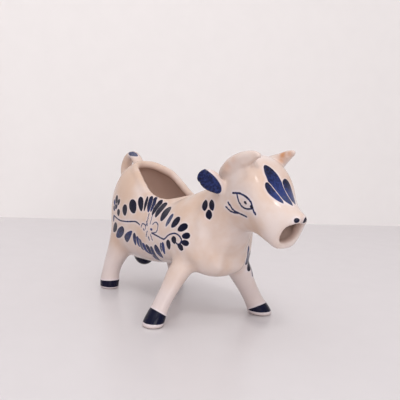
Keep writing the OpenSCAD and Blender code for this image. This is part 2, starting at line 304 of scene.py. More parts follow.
@dataclass(frozen=True)
class Lattice:
    """A box of evenly spaced points that distances are worked out on, in millimetres."""

    low: Array
    counts: tuple[int, int, int]
    step: float
    least_slope: float = 1e-3

    @classmethod
    def around(cls, low: Array, high: Array, step: float) -> "Lattice":
        """The lattice that covers the box from low to high."""
        counts = tuple(int(n) for n in np.ceil((high - low) / step).astype(int) + 1)
        return cls(np.asarray(low, float), counts, step)

    def axes(self) -> tuple[Array, Array, Array]:
        """Coordinates along x, y and z, shaped so that they spread over the lattice."""
        lines = [np.float32(self.low[k] + self.step * np.arange(self.counts[k])) for k in range(3)]
        return lines[0][:, None, None], lines[1][None, :, None], lines[2][None, None, :]

    def window(self, low: Array, high: Array) -> tuple[tuple[slice, slice, slice], "Lattice"]:
        """The part of the lattice between two corners, as slices and as a lattice of its own."""
        first = np.clip(np.floor((low - self.low) / self.step).astype(int), 0, None)
        last = np.minimum(np.ceil((high - self.low) / self.step).astype(int) + 1, self.counts)
        slices = tuple(slice(int(a), int(b)) for a, b in zip(first, last))
        counts = tuple(int(b - a) for a, b in zip(first, last))
        return slices, Lattice(self.low + first * self.step, counts, self.step)

    def sample(self, values: Array, points: Array, beyond: float = OUTSIDE) -> Array:
        """Values at any points, weighed from the eight lattice points round each.

        Args:
            values: one number for each lattice point.
            points: places in millimetres.
            beyond: what a point outside the lattice gets.

        Returns:
            One number for each place.
        """
        place = (points - self.low) / self.step
        inside = np.all((place >= 0) & (place <= np.array(self.counts) - 1), axis=-1)
        corner = np.clip(np.floor(place).astype(int), 0, np.array(self.counts) - 2)
        part = place - corner
        total = np.zeros(len(points))
        for offset in np.ndindex(2, 2, 2):
            weight = np.prod(np.where(np.array(offset), part, 1 - part), axis=-1)
            total += weight * values[tuple((corner + np.array(offset)).T)]
        return np.where(inside, total, beyond)

    def as_distance(self, level: Array) -> Array:
        """A level that is zero on a surface, in millimetres: the level over its slope's length."""
        slopes = np.gradient(level, self.step)
        slope = np.sqrt(sum(s * s for s in slopes))
        return np.clip(level / np.maximum(slope, self.least_slope), -OUTSIDE, OUTSIDE)

    def square_gap(self, path: Array) -> Array:
        """Squared distance from each lattice point to the nearest point of a path."""
        x, y, z = self.axes()
        gap = np.full(self.counts, np.float32(OUTSIDE**2))
        for px, py, pz in path.astype(np.float32):
            np.minimum(gap, (x - px) ** 2 + (y - py) ** 2 + (z - pz) ** 2, out=gap)
        return gap


Placed = tuple[tuple, Lattice, Array]


class Skin:
    """The cow's outer form from rump to nose: sections between a top line and a bottom line.

    NECK numbers the section at the seam between body and head, and NOSE the last one. LINES is
    how many sections are tried for a place. END_ROUND rounds the edges at rump and nose, and the
    nose stands out by NOSE_CROWN. A sag below LEAST_SAG counts as none.
    """

    NECK = len(BODY_STATION_SHARES) - 1
    NOSE = len(BODY_STATION_SHARES) + len(HEAD_STATION_SHARES) - 1
    LINES = 321
    END_ROUND = 2.2
    NOSE_CROWN = 0.8
    LEAST_SAG = 1e-4

    def __init__(self, sizes: Sizes) -> None:
        """Works out the stations in millimetres from the tables of shares."""
        self.sizes = sizes
        body = np.array(BODY_STATION_SHARES, float)
        head = np.array(HEAD_STATION_SHARES, float)
        scale_body = np.array((sizes.body_l, sizes.body_h) * 2 + (sizes.body_w / 2, 1, 1))
        scale_head = np.array((sizes.head_l, sizes.head_h) * 2 + (sizes.head_w / 2, 1, 1))
        start_body = np.array((sizes.rump_x, sizes.belly_z) * 2 + (0, 0, 0))
        start_head = np.array((sizes.neck_x, sizes.neck_z) * 2 + (0, 0, 0))
        body, head = body * scale_body + start_body, head * scale_head + start_head
        self.rows = np.concatenate((body, head))

    def row(self, t: float) -> Array:
        """The section at one place between rump and nose."""
        return smooth_rows(self.rows, np.array([t], float))[0]

    def plane_distance(self, t: float, x: Array, z: Array) -> Array:
        """How far points lie ahead of the section's plane at t."""
        top_x, top_z, bottom_x, bottom_z = self.row(t)[:4]
        up = unit(np.array((top_x - bottom_x, top_z - bottom_z)))
        return (x - bottom_x) * up[1] - (z - bottom_z) * up[0]

    def stations(self, x: Array, z: Array) -> tuple[Array, Array]:
        """Which section each point of the middle plane lies in, and how high in it.

        A point lies in the section whose line from bottom to top passes through it, so the cross
        product of that line with the way to the point changes sign there.

        Args:
            x: places along the cow.
            z: heights, as many as there are places.

        Returns:
            The section's place between rump and nose, and the share of its height.
        """
        t = np.linspace(0, self.NOSE, self.LINES)
        rows = smooth_rows(self.rows, t)
        bottom, line = rows[:, 2:4], rows[:, 0:2] - rows[:, 2:4]
        line_x, line_z = line[None, :, 0], line[None, :, 1]
        way_x, way_z = x[:, None] - bottom[None, :, 0], z[:, None] - bottom[None, :, 1]
        turn = line_x * way_z - line_z * way_x
        lift = (line_x * way_x + line_z * way_z) / np.sum(line**2, axis=1)
        crossing = (turn[:, :-1] < 0) & (turn[:, 1:] >= 0)
        cost = np.where(crossing, np.abs(lift[:, :-1] - 0.5), OUTSIDE)
        best = np.argmin(cost, axis=1)
        one = np.arange(len(x))
        found = cost[one, best] < OUTSIDE
        before, after = turn[one, best], turn[one, best + 1]
        share = np.where(found, before / np.where(found, before - after, 1), 0)
        behind = turn[:, 0] >= 0
        outer = np.where(behind, 0.0, self.NOSE)
        place = np.where(found, t[best] + share * (t[1] - t[0]), outer)
        height = lift[one, best] + share * (lift[one, best + 1] - lift[one, best])
        end_height = np.where(behind, lift[:, 0], lift[:, -1])
        return place, np.where(found, height, end_height)

    def distance(self, lattice: Lattice) -> Array:
        """Distance to the outer form: the sections' level, closed by planes at rump and nose.

        The level of a section is the root of |y / half width|^p + |height|^p, less one, where the
        height runs from -1 at the bottom line to 1 at the top line. The sag moves what would be
        at height h to h + sag * (1 - h^2), which is undone first.
        """
        x, y, z = lattice.axes()
        flat_x, flat_z = np.meshgrid(x.ravel(), z.ravel(), indexing="ij")
        place, lift = self.stations(flat_x.ravel().astype(float), flat_z.ravel().astype(float))
        half_width, fullness, sag = smooth_rows(self.rows, place)[:, 4:7].T
        height = 2 * lift - 1
        level_cut = np.abs(sag) < self.LEAST_SAG
        safe = np.where(level_cut, 1.0, sag)
        bent = (1 - np.sqrt(np.maximum(1 - 4 * safe * (height - safe), 0))) / (2 * safe)
        height = np.where(level_cut, height, bent)
        width, power, height = (np.float32(v.reshape(flat_x.shape)[:, None, :])
                                for v in (half_width, fullness, height))
        level = (np.abs(y / width) ** power + np.abs(height) ** power) ** (1 / power) - 1
        section = lattice.as_distance(level)
        rump = self.sizes.rump_x - x
        nose = self.plane_distance(self.NOSE, x, z) - self.NOSE_CROWN
        return soft_max(soft_max(section, rump, self.END_ROUND), nose, self.END_ROUND)


@dataclass(frozen=True)
class Leg:
    """A leg: flat elliptical rings that lean in towards the body on their way up."""

    piece: Piece
    side: int
    hoof_x: float
    hoof_y: float
    hoof_d: float
    reach: float
    back: float
    shares: tuple
    fillet: float = 3.4
    table_round: float = 1.2
    top_round: float = 2.0
    room: float = 2.2
    steps: int = 161

    def rings(self, sizes: Sizes, heights: Array) -> Array:
        """Middle and half widths of the leg at given heights: x, y, along, across."""
        dense = smooth_curve(self.shares, self.steps)
        level = dense[:, 0] * sizes.belly_z
        columns = (
            self.hoof_x + dense[:, 2] * sizes.leg_lean - dense[:, 1] * self.back,
            self.side * (self.hoof_y - dense[:, 1] * self.reach),
            dense[:, 3] * self.hoof_d / 2,
            dense[:, 4] * self.hoof_d / 2,
        )
        return np.stack([np.interp(heights, level, column) for column in columns], axis=-1)

    def place(self, sizes: Sizes, lattice: Lattice) -> Placed:
        """The leg's distance in its own window, rounded at the table and at its top."""
        top = self.shares[-1][0] * sizes.belly_z
        ends = self.rings(sizes, np.array((0, top)))[:, :2]
        spread = self.room * self.hoof_d
        low = np.append(ends.min(axis=0) - spread, -lattice.step * 3)
        high = np.append(ends.max(axis=0) + spread, top + lattice.step * 3)
        slices, part = lattice.window(low, high)
        x, y, z = part.axes()
        ring = self.rings(sizes, z.ravel().astype(float)).astype(np.float32)
        cx, cy, rx, ry = (ring[None, None, :, k] for k in range(4))
        leg = part.as_distance(np.sqrt(((x - cx) / rx) ** 2 + ((y - cy) / ry) ** 2) - 1)
        leg = soft_max(leg, -z, self.table_round)
        return slices, part, soft_max(leg, z - np.float32(top), self.top_round)


@dataclass(frozen=True)
class Sweep:
    """A horn, an ear or the tail: an oval section carried along a curve."""

    piece: Piece
    shares: tuple
    start: tuple[float, float, float]
    scale: tuple[float, float, float]
    half_width: float
    half_thickness: float
    side_way: tuple[float, float, float]
    fillet: float
    end_round: float = 0.0
    steps: int = 72

    def curve(self) -> tuple[Array, Array, Array]:
        """Points, half sizes and the three ways (along, side, up) at each step of the curve."""
        rows = smooth_curve(self.shares, self.steps)
        points = np.array(self.start) + rows[:, :3] * np.array(self.scale)
        way = unit(np.gradient(points, axis=0))
        up = unit(np.cross(way, np.array(self.side_way)))
        side = np.cross(up, way)
        half = rows[:, 3:5] * np.array((self.half_width, self.half_thickness))
        return points, half, np.stack((way, side, up), axis=1)

    def place(self, sizes: Sizes, lattice: Lattice) -> Placed:
        """The distance in the curve's own window: an oval round the nearest point of the curve."""
        points, half, ways = self.curve()
        margin = half.max() + MARGIN
        slices, part = lattice.window(points.min(axis=0) - margin, points.max(axis=0) + margin)
        grid = np.stack(np.broadcast_arrays(*part.axes()), axis=-1).reshape(-1, 3).astype(float)
        best = np.full(len(grid), OUTSIDE**2)
        nearest = np.zeros(len(grid), int)
        for k, point in enumerate(points):
            gap = np.sum((grid - point) ** 2, axis=1)
            nearer = gap < best
            best[nearer], nearest[nearer] = gap[nearer], k
        local = np.einsum("nj,nkj->nk", grid - points[nearest], ways[nearest])
        size = half[nearest]
        at_end = (nearest == 0) | (nearest == len(points) - 1)
        past = np.where(at_end, np.abs(local[:, 0]), 0)
        past = past / np.maximum(size.min(axis=1), self.end_round)
        wide, thick = local[:, 1] / size[:, 0], local[:, 2] / size[:, 1]
        level = np.sqrt(wide**2 + thick**2 + past**2) - 1
        return slices, part, part.as_distance(level.reshape(part.counts).astype(np.float32))


@dataclass(frozen=True)
class Udder:
    """The udder: a half ball that hangs below the belly."""

    piece: Piece
    x: float
    width: float
    drop: float
    fillet: float = 2.0

    def place(self, sizes: Sizes, lattice: Lattice) -> Placed:
        """Distance to the ellipsoid with its middle one wall above the belly's lowest line."""
        middle = np.array((self.x, 0, sizes.belly_z + sizes.wall))
        radii = np.array((self.width / 2, self.width / 2, self.drop + sizes.wall))
        slices, part = lattice.window(middle - radii - MARGIN, middle + radii + MARGIN)
        level = sum(((v - m) / r) ** 2 for v, m, r in zip(part.axes(), middle, radii))
        level = np.sqrt(level) - 1
        return slices, part, part.as_distance(level)


Limb = Leg | Sweep | Udder


def limbs(sizes: Sizes, skin: Skin) -> list[Limb]:
    """Every piece that is luted on to the body or the head, at its place.

    Args:
        sizes: the driving sizes.
        skin: the outer form that carries them.

    Returns:
        Legs, horns, ears, tail and udder.
    """
    s, poll = sizes, skin.rows[Skin.NECK + 1]
    front_x = s.rump_x + s.front_hoof_share * s.body_l
    rear_x = s.rump_x + s.rear_hoof_share * s.body_l
    front_y, rear_y = s.front_stance / 2, s.rear_stance / 2
    shift = (s.front_left_hoof_d - s.front_right_hoof_d) / 4
    found: list[Limb] = [
        Leg(Piece.FRONT_LEFT_LEG, LEFT, front_x + s.left_step, front_y - shift,
            s.front_left_hoof_d, s.front_leg_in * BROAD_LEG_REACH,
            s.left_step * s.step_back_share, FRONT_LEG_SHARES),
        Leg(Piece.FRONT_RIGHT_LEG, RIGHT, front_x, front_y + shift, s.front_right_hoof_d,
            s.front_leg_in, 0, FRONT_LEG_SHARES),
        Leg(Piece.REAR_LEFT_LEG, LEFT, rear_x + s.rear_left_step, rear_y + s.left_spread,
            s.rear_left_hoof_d, s.rear_leg_in + s.left_spread * SPREAD_LEG_REACH, 0,
            REAR_LEG_SHARES),
        Leg(Piece.REAR_RIGHT_LEG, RIGHT, rear_x, rear_y, s.rear_right_hoof_d, s.rear_leg_in, 0,
            REAR_LEG_SHARES),
    ]
    for side, horn, horn_shares, ear in (
            (LEFT, Piece.LEFT_HORN, HORN_SHARES, Piece.LEFT_EAR),
            (RIGHT, Piece.RIGHT_HORN, RIGHT_HORN_SHARES, Piece.RIGHT_EAR)):
        root = (poll[0], side * poll[4] * HORN_OUT, poll[1] - s.horn_d / 2)
        found.append(Sweep(horn, horn_shares, root, (s.horn_l, side * s.horn_l, s.horn_l),
                           s.horn_d / 2, s.horn_d / 2, (0, 1, 0), fillet=1.6, end_round=1.2))
        root = (poll[0], side * poll[4] * EAR_OUT, poll[1] - s.head_h * EAR_DOWN)
        lean = (EAR_LEAN[0], side * EAR_LEAN[1], EAR_LEAN[2])
        found.append(Sweep(ear, EAR_SHARES, root, (s.ear_l, side * s.ear_l, s.ear_l),
                           s.ear_w / 2, s.ear_t / 2, lean, fillet=1.2, end_round=2.6))
    reach = s.tail_out - s.tail_t / 2
    root = (s.rump_x, 0, s.belly_z + TAIL_FOOT * s.body_h)
    found.append(Sweep(Piece.TAIL, TAIL_SHARES, root, (reach, reach, s.tail_h), s.tail_w / 2,
                       s.tail_t / 2, (0, 1, 0), fillet=1.8))
    found.append(Udder(Piece.UDDER, s.rump_x + UDDER_PLACE * s.body_l, s.udder_d, s.udder_drop))
    return found


@dataclass(frozen=True)
class Lip:
    """The rounded lip round the filling opening."""

    sizes: Sizes
    fillet: float = 1.6
    edge_round: float = 0.6
    room: float = 3.0
    end: float = 1.2
    steps: int = 240

    @property
    def middle(self) -> float:
        """Place of the middle of the opening along the cow."""
        return self.sizes.rump_x + self.sizes.opening_back + self.sizes.opening_l / 2

    def wider(self, turn: Array) -> Array:
        """How much wider than an oval it is, where turn is 1 at the back and -1 at the front."""
        return 1 + self.sizes.opening_egg_share * turn + self.sizes.opening_square_share * turn**2

    def path(self, lattice: Lattice, skin_distance: Array) -> Array:
        """Points along the middle of the lip.

        Seen from above they follow a squarish oval that is a little narrower at its back, and
        each lies half the wall under the skin.
        """
        s = self.sizes
        phi = np.linspace(0, 2 * np.pi, self.steps, endpoint=False)
        x = self.middle - s.opening_l / 2 * np.cos(phi)
        y = s.opening_w / 2 * np.sin(phi) * self.wider(np.cos(phi))
        low_z = s.belly_z + s.body_h / 2
        heights = np.arange(low_z, low_z + s.body_h, lattice.step / 2)
        columns = np.stack(np.broadcast_arrays(x[:, None], y[:, None], heights[None, :]), axis=-1)
        depth = lattice.sample(skin_distance, columns.reshape(-1, 3)).reshape(len(x), -1)
        first = np.argmax(depth > -s.wall / 2, axis=1)
        return np.stack((x, y, heights[first]), axis=-1)

    def cut_and_roll(self, lattice: Lattice, shell: Array, path: Array) -> None:
        """Opens the back inside the outline and lays the rounded lip along its edge.

        Args:
            lattice: the lattice that the shell is worked out on.
            shell: distance to the hollow form, changed in place.
            path: points along the middle of the lip.
        """
        s = self.sizes
        margin = s.lip_t + self.room
        high = path.max(axis=0) + np.array((margin, margin, s.body_h / 2))
        low = np.minimum(path.min(axis=0) - margin, (np.inf, np.inf, s.belly_z + s.body_h / 2))
        slices, part = lattice.window(low, high)
        x, y, _ = part.axes()
        turn = np.clip((self.middle - x) / (s.opening_l / 2), -self.end, self.end)
        across = y / (s.opening_w / 2 * self.wider(turn))
        prism = (np.sqrt(turn**2 + across**2) - 1) * s.opening_w / 2
        opened = soft_max(shell[slices], -prism, self.edge_round)
        bead = np.sqrt(part.square_gap(path)) - s.lip_t / 2
        shell[slices] = soft_min(opened, bead, self.fillet)


class Jug:
    """The whole jug as one form, with the level whose zero is the seam of each limb."""

    CAVITY_END = Skin.NECK + 6.4
    CAVITY_ROUND, MOUTH_ROUND, THROAT_ROUND = 3.0, 2.4, 1.0
    MOUTH_PLACE, MOUTH_DOWN, MOUTH_DEPTH = 0.8425, 0.57, 1 / 3
    MOUTH_FULLNESS = 2.4
    ROOM = 2.5

    def __init__(self, sizes: Sizes, step: float) -> None:
        """Works out the distances on a lattice with the given step."""
        self.sizes, self.skin = sizes, Skin(sizes)
        low, high = (np.array(corner) / MM for corner in CAD_BOX)
        self.lattice = Lattice.around(low - self.ROOM, high + self.ROOM, step)
        self.skin_distance = self.skin.distance(self.lattice)
        self.seams: dict[Piece, tuple[Lattice, Array]] = {}
        self.parts = limbs(sizes, self.skin)
        self.solid = self.skin_distance.copy()
        placed = [limb.place(sizes, self.lattice) for limb in self.parts]
        for limb, (slices, part, distance) in zip(self.parts, placed):
            rival = self.skin_distance[slices].copy()
            for other, _, beside in placed:
                common = None if other is slices else shared(slices, other)
                if common:
                    here, there = common
                    rival[here] = np.minimum(rival[here], beside[there])
            self.seams[limb.piece] = (part, distance - rival)
            self.solid[slices] = soft_min(self.solid[slices], distance, limb.fillet)
        self.hollow()

    def hollow(self) -> None:
        """Hollows the form by the wall, opens the back, rolls the lip and bores the mouth."""
        x, y, z = self.lattice.axes()
        end = self.skin.plane_distance(self.CAVITY_END, x, z)
        cavity = soft_max(self.skin_distance + self.sizes.wall, end, self.CAVITY_ROUND)
        self.form = np.maximum(self.solid, -cavity)
        lip = Lip(self.sizes)
        lip.cut_and_roll(self.lattice, self.form, lip.path(self.lattice, self.skin_distance))
        mouth = self.mouth(x, y, z)
        self.form = soft_max(self.form, -mouth, self.MOUTH_ROUND).astype(np.float32)

    def mouth(self, x: Array, y: Array, z: Array) -> Array:
        """Distance to the spout's bore, which leans back up into the head.

        Its section is the root of |y / half width|^p + |up / half height|^p, less one, times
        half its width.
        """
        s, full = self.sizes, self.MOUTH_FULLNESS
        from_x = x - (s.neck_x + self.MOUTH_PLACE * s.head_l)
        from_z = z - (s.neck_z - self.MOUTH_DOWN * s.head_h)
        lean = np.radians(s.spout_lean)
        back = -from_x * np.cos(lean) + from_z * np.sin(lean)
        up = from_x * np.sin(lean) + from_z * np.cos(lean)
        oval = np.abs(y / (s.mouth_w / 2)) ** full + np.abs(up / (s.mouth_h / 2)) ** full
        oval = (oval ** (1 / full) - 1) * s.mouth_w / 2
        return soft_max(oval, back - s.head_l * self.MOUTH_DEPTH, self.THROAT_ROUND)

    def slope(self, values: Array, points: Array) -> Array:
        """The way in which values grow fastest at each point: the normal of their surface."""
        sample, ways = self.lattice.sample, np.eye(3) * self.lattice.step
        rise = [sample(values, points + way) - sample(values, points - way) for way in ways]
        return unit(np.stack(rise, axis=-1))

    def settled(self, values: Array, points: Array, times: int, reach: float,
                pace: float = 1.0) -> Array:
        """Points moved along the slope until they lie where the values are zero.

        Args:
            values: one number for each lattice point.
            points: places near that surface.
            times: how many steps are taken.
            reach: the longest step, in millimetres.
            pace: the share of the way that each step goes.

        Returns:
            The places on the surface.
        """
        for _ in range(times):
            miss = np.clip(self.lattice.sample(values, points), -reach, reach)
            points = points - miss[:, None] * self.slope(values, points) * pace
        return points


class Tone(Enum):
    """How much cobalt the brush carried, from a pale wash to a full load."""

    PALE = 0.34
    MID = 0.58
    DEEP = 0.74
    FULL = 0.92


@dataclass(frozen=True)
class Petal:
    """A short stroke of the brush, placed by pixels of the photograph.

    Its half width at a share t of the way from tip to root is the full one times
    sin(pi * t ** round_tip) ** plump, so that a small round_tip gives a rounder tip. Its tone
    falls by fading from tip to root, and grown scales it on the form about its middle.
    """

    tip: Pixel
    root: Pixel
    half_width: float
    tone: Tone = Tone.FULL
    round_tip: float = 0.8
    plump: float = 0.52
    fading: float = 0.15
    grown: float = 1.0


@dataclass(frozen=True)
class Fold:
    """A soft groove that the potter's thumb left, or a ridge where the depth is below zero."""

    points: tuple[Pixel, ...]
    depth: float
    spread: float


@dataclass(frozen=True)
class Stain:
    """A rusty spot that came through the glaze, with its radius in millimetres."""

    place: Pixel
    radius: float
    strength: float


@dataclass(frozen=True)
class Line:
    """A long thin stroke through some pixels, with its half width in millimetres."""

    points: tuple[Pixel, ...]
    half_width: float = 0.42
    tone: Tone = Tone.DEEP


@dataclass(frozen=True)
class Band:
    """The painted band round a hoof: from a level rim up to the plane through three pixels."""

    piece: Piece
    rim: float
    edge: tuple[Pixel, Pixel, Pixel]
    tone: Tone = Tone.FULL


WREATH = (
    # upper row, from the rump forwards
    Petal((124.6, 204.6), (125.4, 215.7), 2.3),
    Petal((131.1, 200.0), (135.0, 212.9), 3.6, round_tip=0.9),
    Petal((140.0, 196.8), (141.8, 211.4), 2.4),
    Petal((147.6, 196.4), (144.3, 211.4), 1.35),
    Petal((151.6, 196.1), (148.8, 212.6), 2.1, Tone.DEEP),
    Petal((156.6, 197.0), (150.8, 212.2), 1.75, Tone.DEEP),
    Petal((162.3, 200.0), (152.4, 215.5), 2.0),
    Petal((166.8, 202.8), (155.8, 217.6), 2.3),
    Petal((171.3, 207.0), (160.9, 221.2), 2.55),
    Petal((173.4, 213.9), (165.9, 226.6), 1.6, Tone.PALE),
    Petal((180.4, 217.8), (171.6, 227.2), 2.75),
    Petal((187.8, 225.3), (177.6, 230.2), 3.1),
    Petal((190.5, 235.4), (182.2, 236.4), 2.9),
    Petal((189.2, 243.6), (181.4, 242.2), 2.7),
    Petal((183.4, 249.2), (177.6, 244.4), 2.3),
    # lower row
    Petal((117.2, 223.8), (113.4, 231.2), 2.1),
    Petal((124.0, 228.4), (116.4, 236.6), 3.5, Tone.DEEP, plump=0.5),
    Petal((125.4, 240.0), (132.4, 231.2), 2.9, Tone.DEEP, round_tip=0.6),
    Petal((134.6, 232.8), (135.8, 245.2), 1.6, Tone.DEEP),
    Petal((137.4, 236.0), (139.8, 247.0), 1.3, Tone.MID),
    Petal((139.8, 238.4), (143.8, 250.2), 1.4, Tone.PALE),
    Petal((142.6, 242.8), (150.2, 253.8), 1.6, Tone.MID),
    Petal((146.4, 244.4), (154.4, 256.0), 1.8, Tone.DEEP),
    Petal((151.8, 246.2), (162.8, 261.6), 1.9, Tone.DEEP),
    Petal((155.8, 244.8), (163.0, 258.0), 2.0, Tone.DEEP),
    Petal((160.9, 242.6), (161.9, 252.0), 0.9, Tone.PALE),
    Petal((163.4, 242.0), (164.9, 254.2), 1.35, Tone.MID),
    # leaves within the curl
    Petal((168.4, 239.8), (169.3, 249.4), 1.95),
    Petal((173.2, 236.2), (175.2, 243.8), 2.1),
    # the flower on the rump
    Petal((116.9, 195.4), (116.8, 204.0), 1.25),
    Petal((114.2, 199.8), (115.4, 205.2), 0.9, Tone.MID),
    Petal((119.6, 199.2), (117.8, 205.4), 1.15),
    Petal((113.8, 206.2), (115.0, 210.4), 1.0, Tone.DEEP),
    Petal((116.2, 204.4), (116.2, 209.4), 1.5, Tone.DEEP),
    Petal((118.8, 208.8), (118.7, 216.2), 1.35),
    Petal((114.2, 214.8), (113.4, 221.8), 0.9, Tone.PALE),
    # vine and the line flower in its middle
    Line(((114.6, 215.6), (117.2, 218.4), (121.6, 220.8), (128.6, 221.6), (135.6, 221.6),
          (139.8, 224.6))),
    Line(((151.8, 233.0), (157.2, 235.8), (162.8, 238.8), (165.0, 238.6), (168.6, 235.2),
          (172.4, 233.6), (176.0, 233.6), (179.4, 235.8), (181.5, 239.5), (180.6, 243.2),
          (178.0, 244.2), (176.6, 243.0))),
    Line(((152.8, 224.4), (156.0, 222.2), (158.2, 225.6), (156.6, 231.8), (153.0, 232.8)),
         0.34, Tone.PALE),
    Line(((149.4, 213.6), (147.8, 219.8), (146.2, 225.4)), 0.34, Tone.PALE),
    Line(((152.8, 215.4), (151.2, 220.4), (150.4, 224.0)), 0.32, Tone.PALE),
    Line(((147.0, 221.4), (147.4, 225.6)), 0.4, Tone.PALE),
    Line(((141.4, 227.0), (142.6, 223.8), (145.4, 225.0), (145.6, 229.0)), 0.34, Tone.PALE),
    Line(((143.6, 229.0), (144.4, 230.0)), 0.45, Tone.PALE),
    Line(((151.0, 229.2), (151.9, 229.6)), 0.6, Tone.MID),
    Line(((147.4, 231.2), (146.2, 236.4)), 0.32, Tone.PALE),
    Line(((148.4, 236.6), (149.6, 239.8)), 0.42, Tone.PALE),
    Line(((150.6, 234.4), (152.6, 240.2)), 0.32, Tone.PALE),
)
FOLDS = (
    Fold(((229.0, 168.5), (238.0, 164.0), (246.0, 160.5), (253.0, 157.0)), 1.0, 1.6),
    Fold(((222.0, 178.0), (232.0, 172.5), (241.0, 168.0)), 0.8, 1.6),
    Fold(((225.0, 186.0), (234.0, 181.0), (243.0, 175.5)), 0.8, 1.7),
    Fold(((202.0, 222.0), (199.0, 240.0), (195.0, 257.0)), -1.0, 3.0),
    Fold(((225.0, 245.0), (221.0, 258.0), (217.0, 270.0)), -1.0, 3.0),
)
STAINS = (
    Stain((283.0, 154.4), 2.3, 1.2), Stain((289.6, 153.4), 1.8, 0.8),
    Stain((227.0, 166.0), 2.6, 0.45), Stain((233.0, 160.0), 2.2, 0.35),
    Stain((281.4, 160.5), 1.4, 0.8),
)
FACE = (
    # the whole leaf of the ear
    Petal((200.6, 173.6), (216.4, 189.6), 5.0, Tone.DEEP, 1.0, 0.42, 0.1, grown=1.42),
    # upper lid, lower lid, pupil and the dark corner of the eye
    Line(((233.4, 192.9), (236.6, 193.0), (240.0, 193.4), (245.8, 196.4), (250.8, 201.6),
          (252.9, 207.4), (255.3, 214.4)), 0.48),
    Line(((237.5, 194.2), (238.8, 200.0), (241.6, 205.8), (246.6, 208.7), (251.7, 208.7)), 0.44),
    Line(((245.3, 202.2), (246.2, 203.2)), 0.62, Tone.FULL),
    Line(((251.6, 206.6), (252.4, 207.8)), 0.75, Tone.FULL),
    # the two strokes on the cheek
    Line(((228.3, 202.5), (231.4, 206.8), (234.2, 210.4), (240.6, 213.7), (246.6, 216.6)), 0.46),
    Line(((226.3, 206.7), (230.0, 210.4), (234.2, 212.4), (238.0, 213.0))),
    # three petals on the neck behind the cheek
    Petal((205.9, 199.9), (204.9, 210.9), 2.5, round_tip=1.0, plump=0.55),
    Petal((211.4, 199.6), (213.2, 210.6), 2.4, round_tip=1.0, plump=0.55),
    Petal((209.0, 209.6), (209.9, 219.4), 2.8, round_tip=1.0, plump=0.55),
)
FOREHEAD = (
    Petal((264.6, 165.2), (292.8, 206.0), 5.1, Tone.MID, 0.78, 0.7, 0.5),
    Petal((265.6, 182.8), (283.6, 203.6), 3.5, Tone.MID, 0.7, 0.7, 0.5),
    Petal((285.8, 179.0), (295.2, 204.6), 3.0, Tone.MID, 0.7, 0.7, 0.5),
    Line(((296.6, 220.6), (297.1, 220.7)), 1.15, Tone.FULL),
    Line(((304.4, 221.8), (305.4, 219.4)), 0.9, Tone.FULL),
)
CHEST = (
    Petal((246.3, 264.4), (248.6, 245.4), 1.6, Tone.DEEP, 0.6),
    Petal((249.6, 270.6), (249.0, 251.0), 1.5, Tone.FULL, 0.6),
    Petal((252.6, 276.6), (250.2, 264.0), 0.9, Tone.DEEP, 0.8),
)
TAIL_SPOT = (Petal((129.0, 152.6), (137.4, 156.6), 2.3, Tone.PALE, 1.0, 0.5),)
BANDS = (
    Band(Piece.REAR_RIGHT_LEG, 1.4, ((103.0, 280.4), (110.0, 280.7), (118.0, 279.6))),
    Band(Piece.FRONT_RIGHT_LEG, 2.3, ((149.6, 307.2), (157.0, 311.2), (164.4, 315.4))),
    Band(Piece.FRONT_LEFT_LEG, 2.3, ((249.4, 308.8), (259.0, 305.6), (266.6, 301.8))),
)


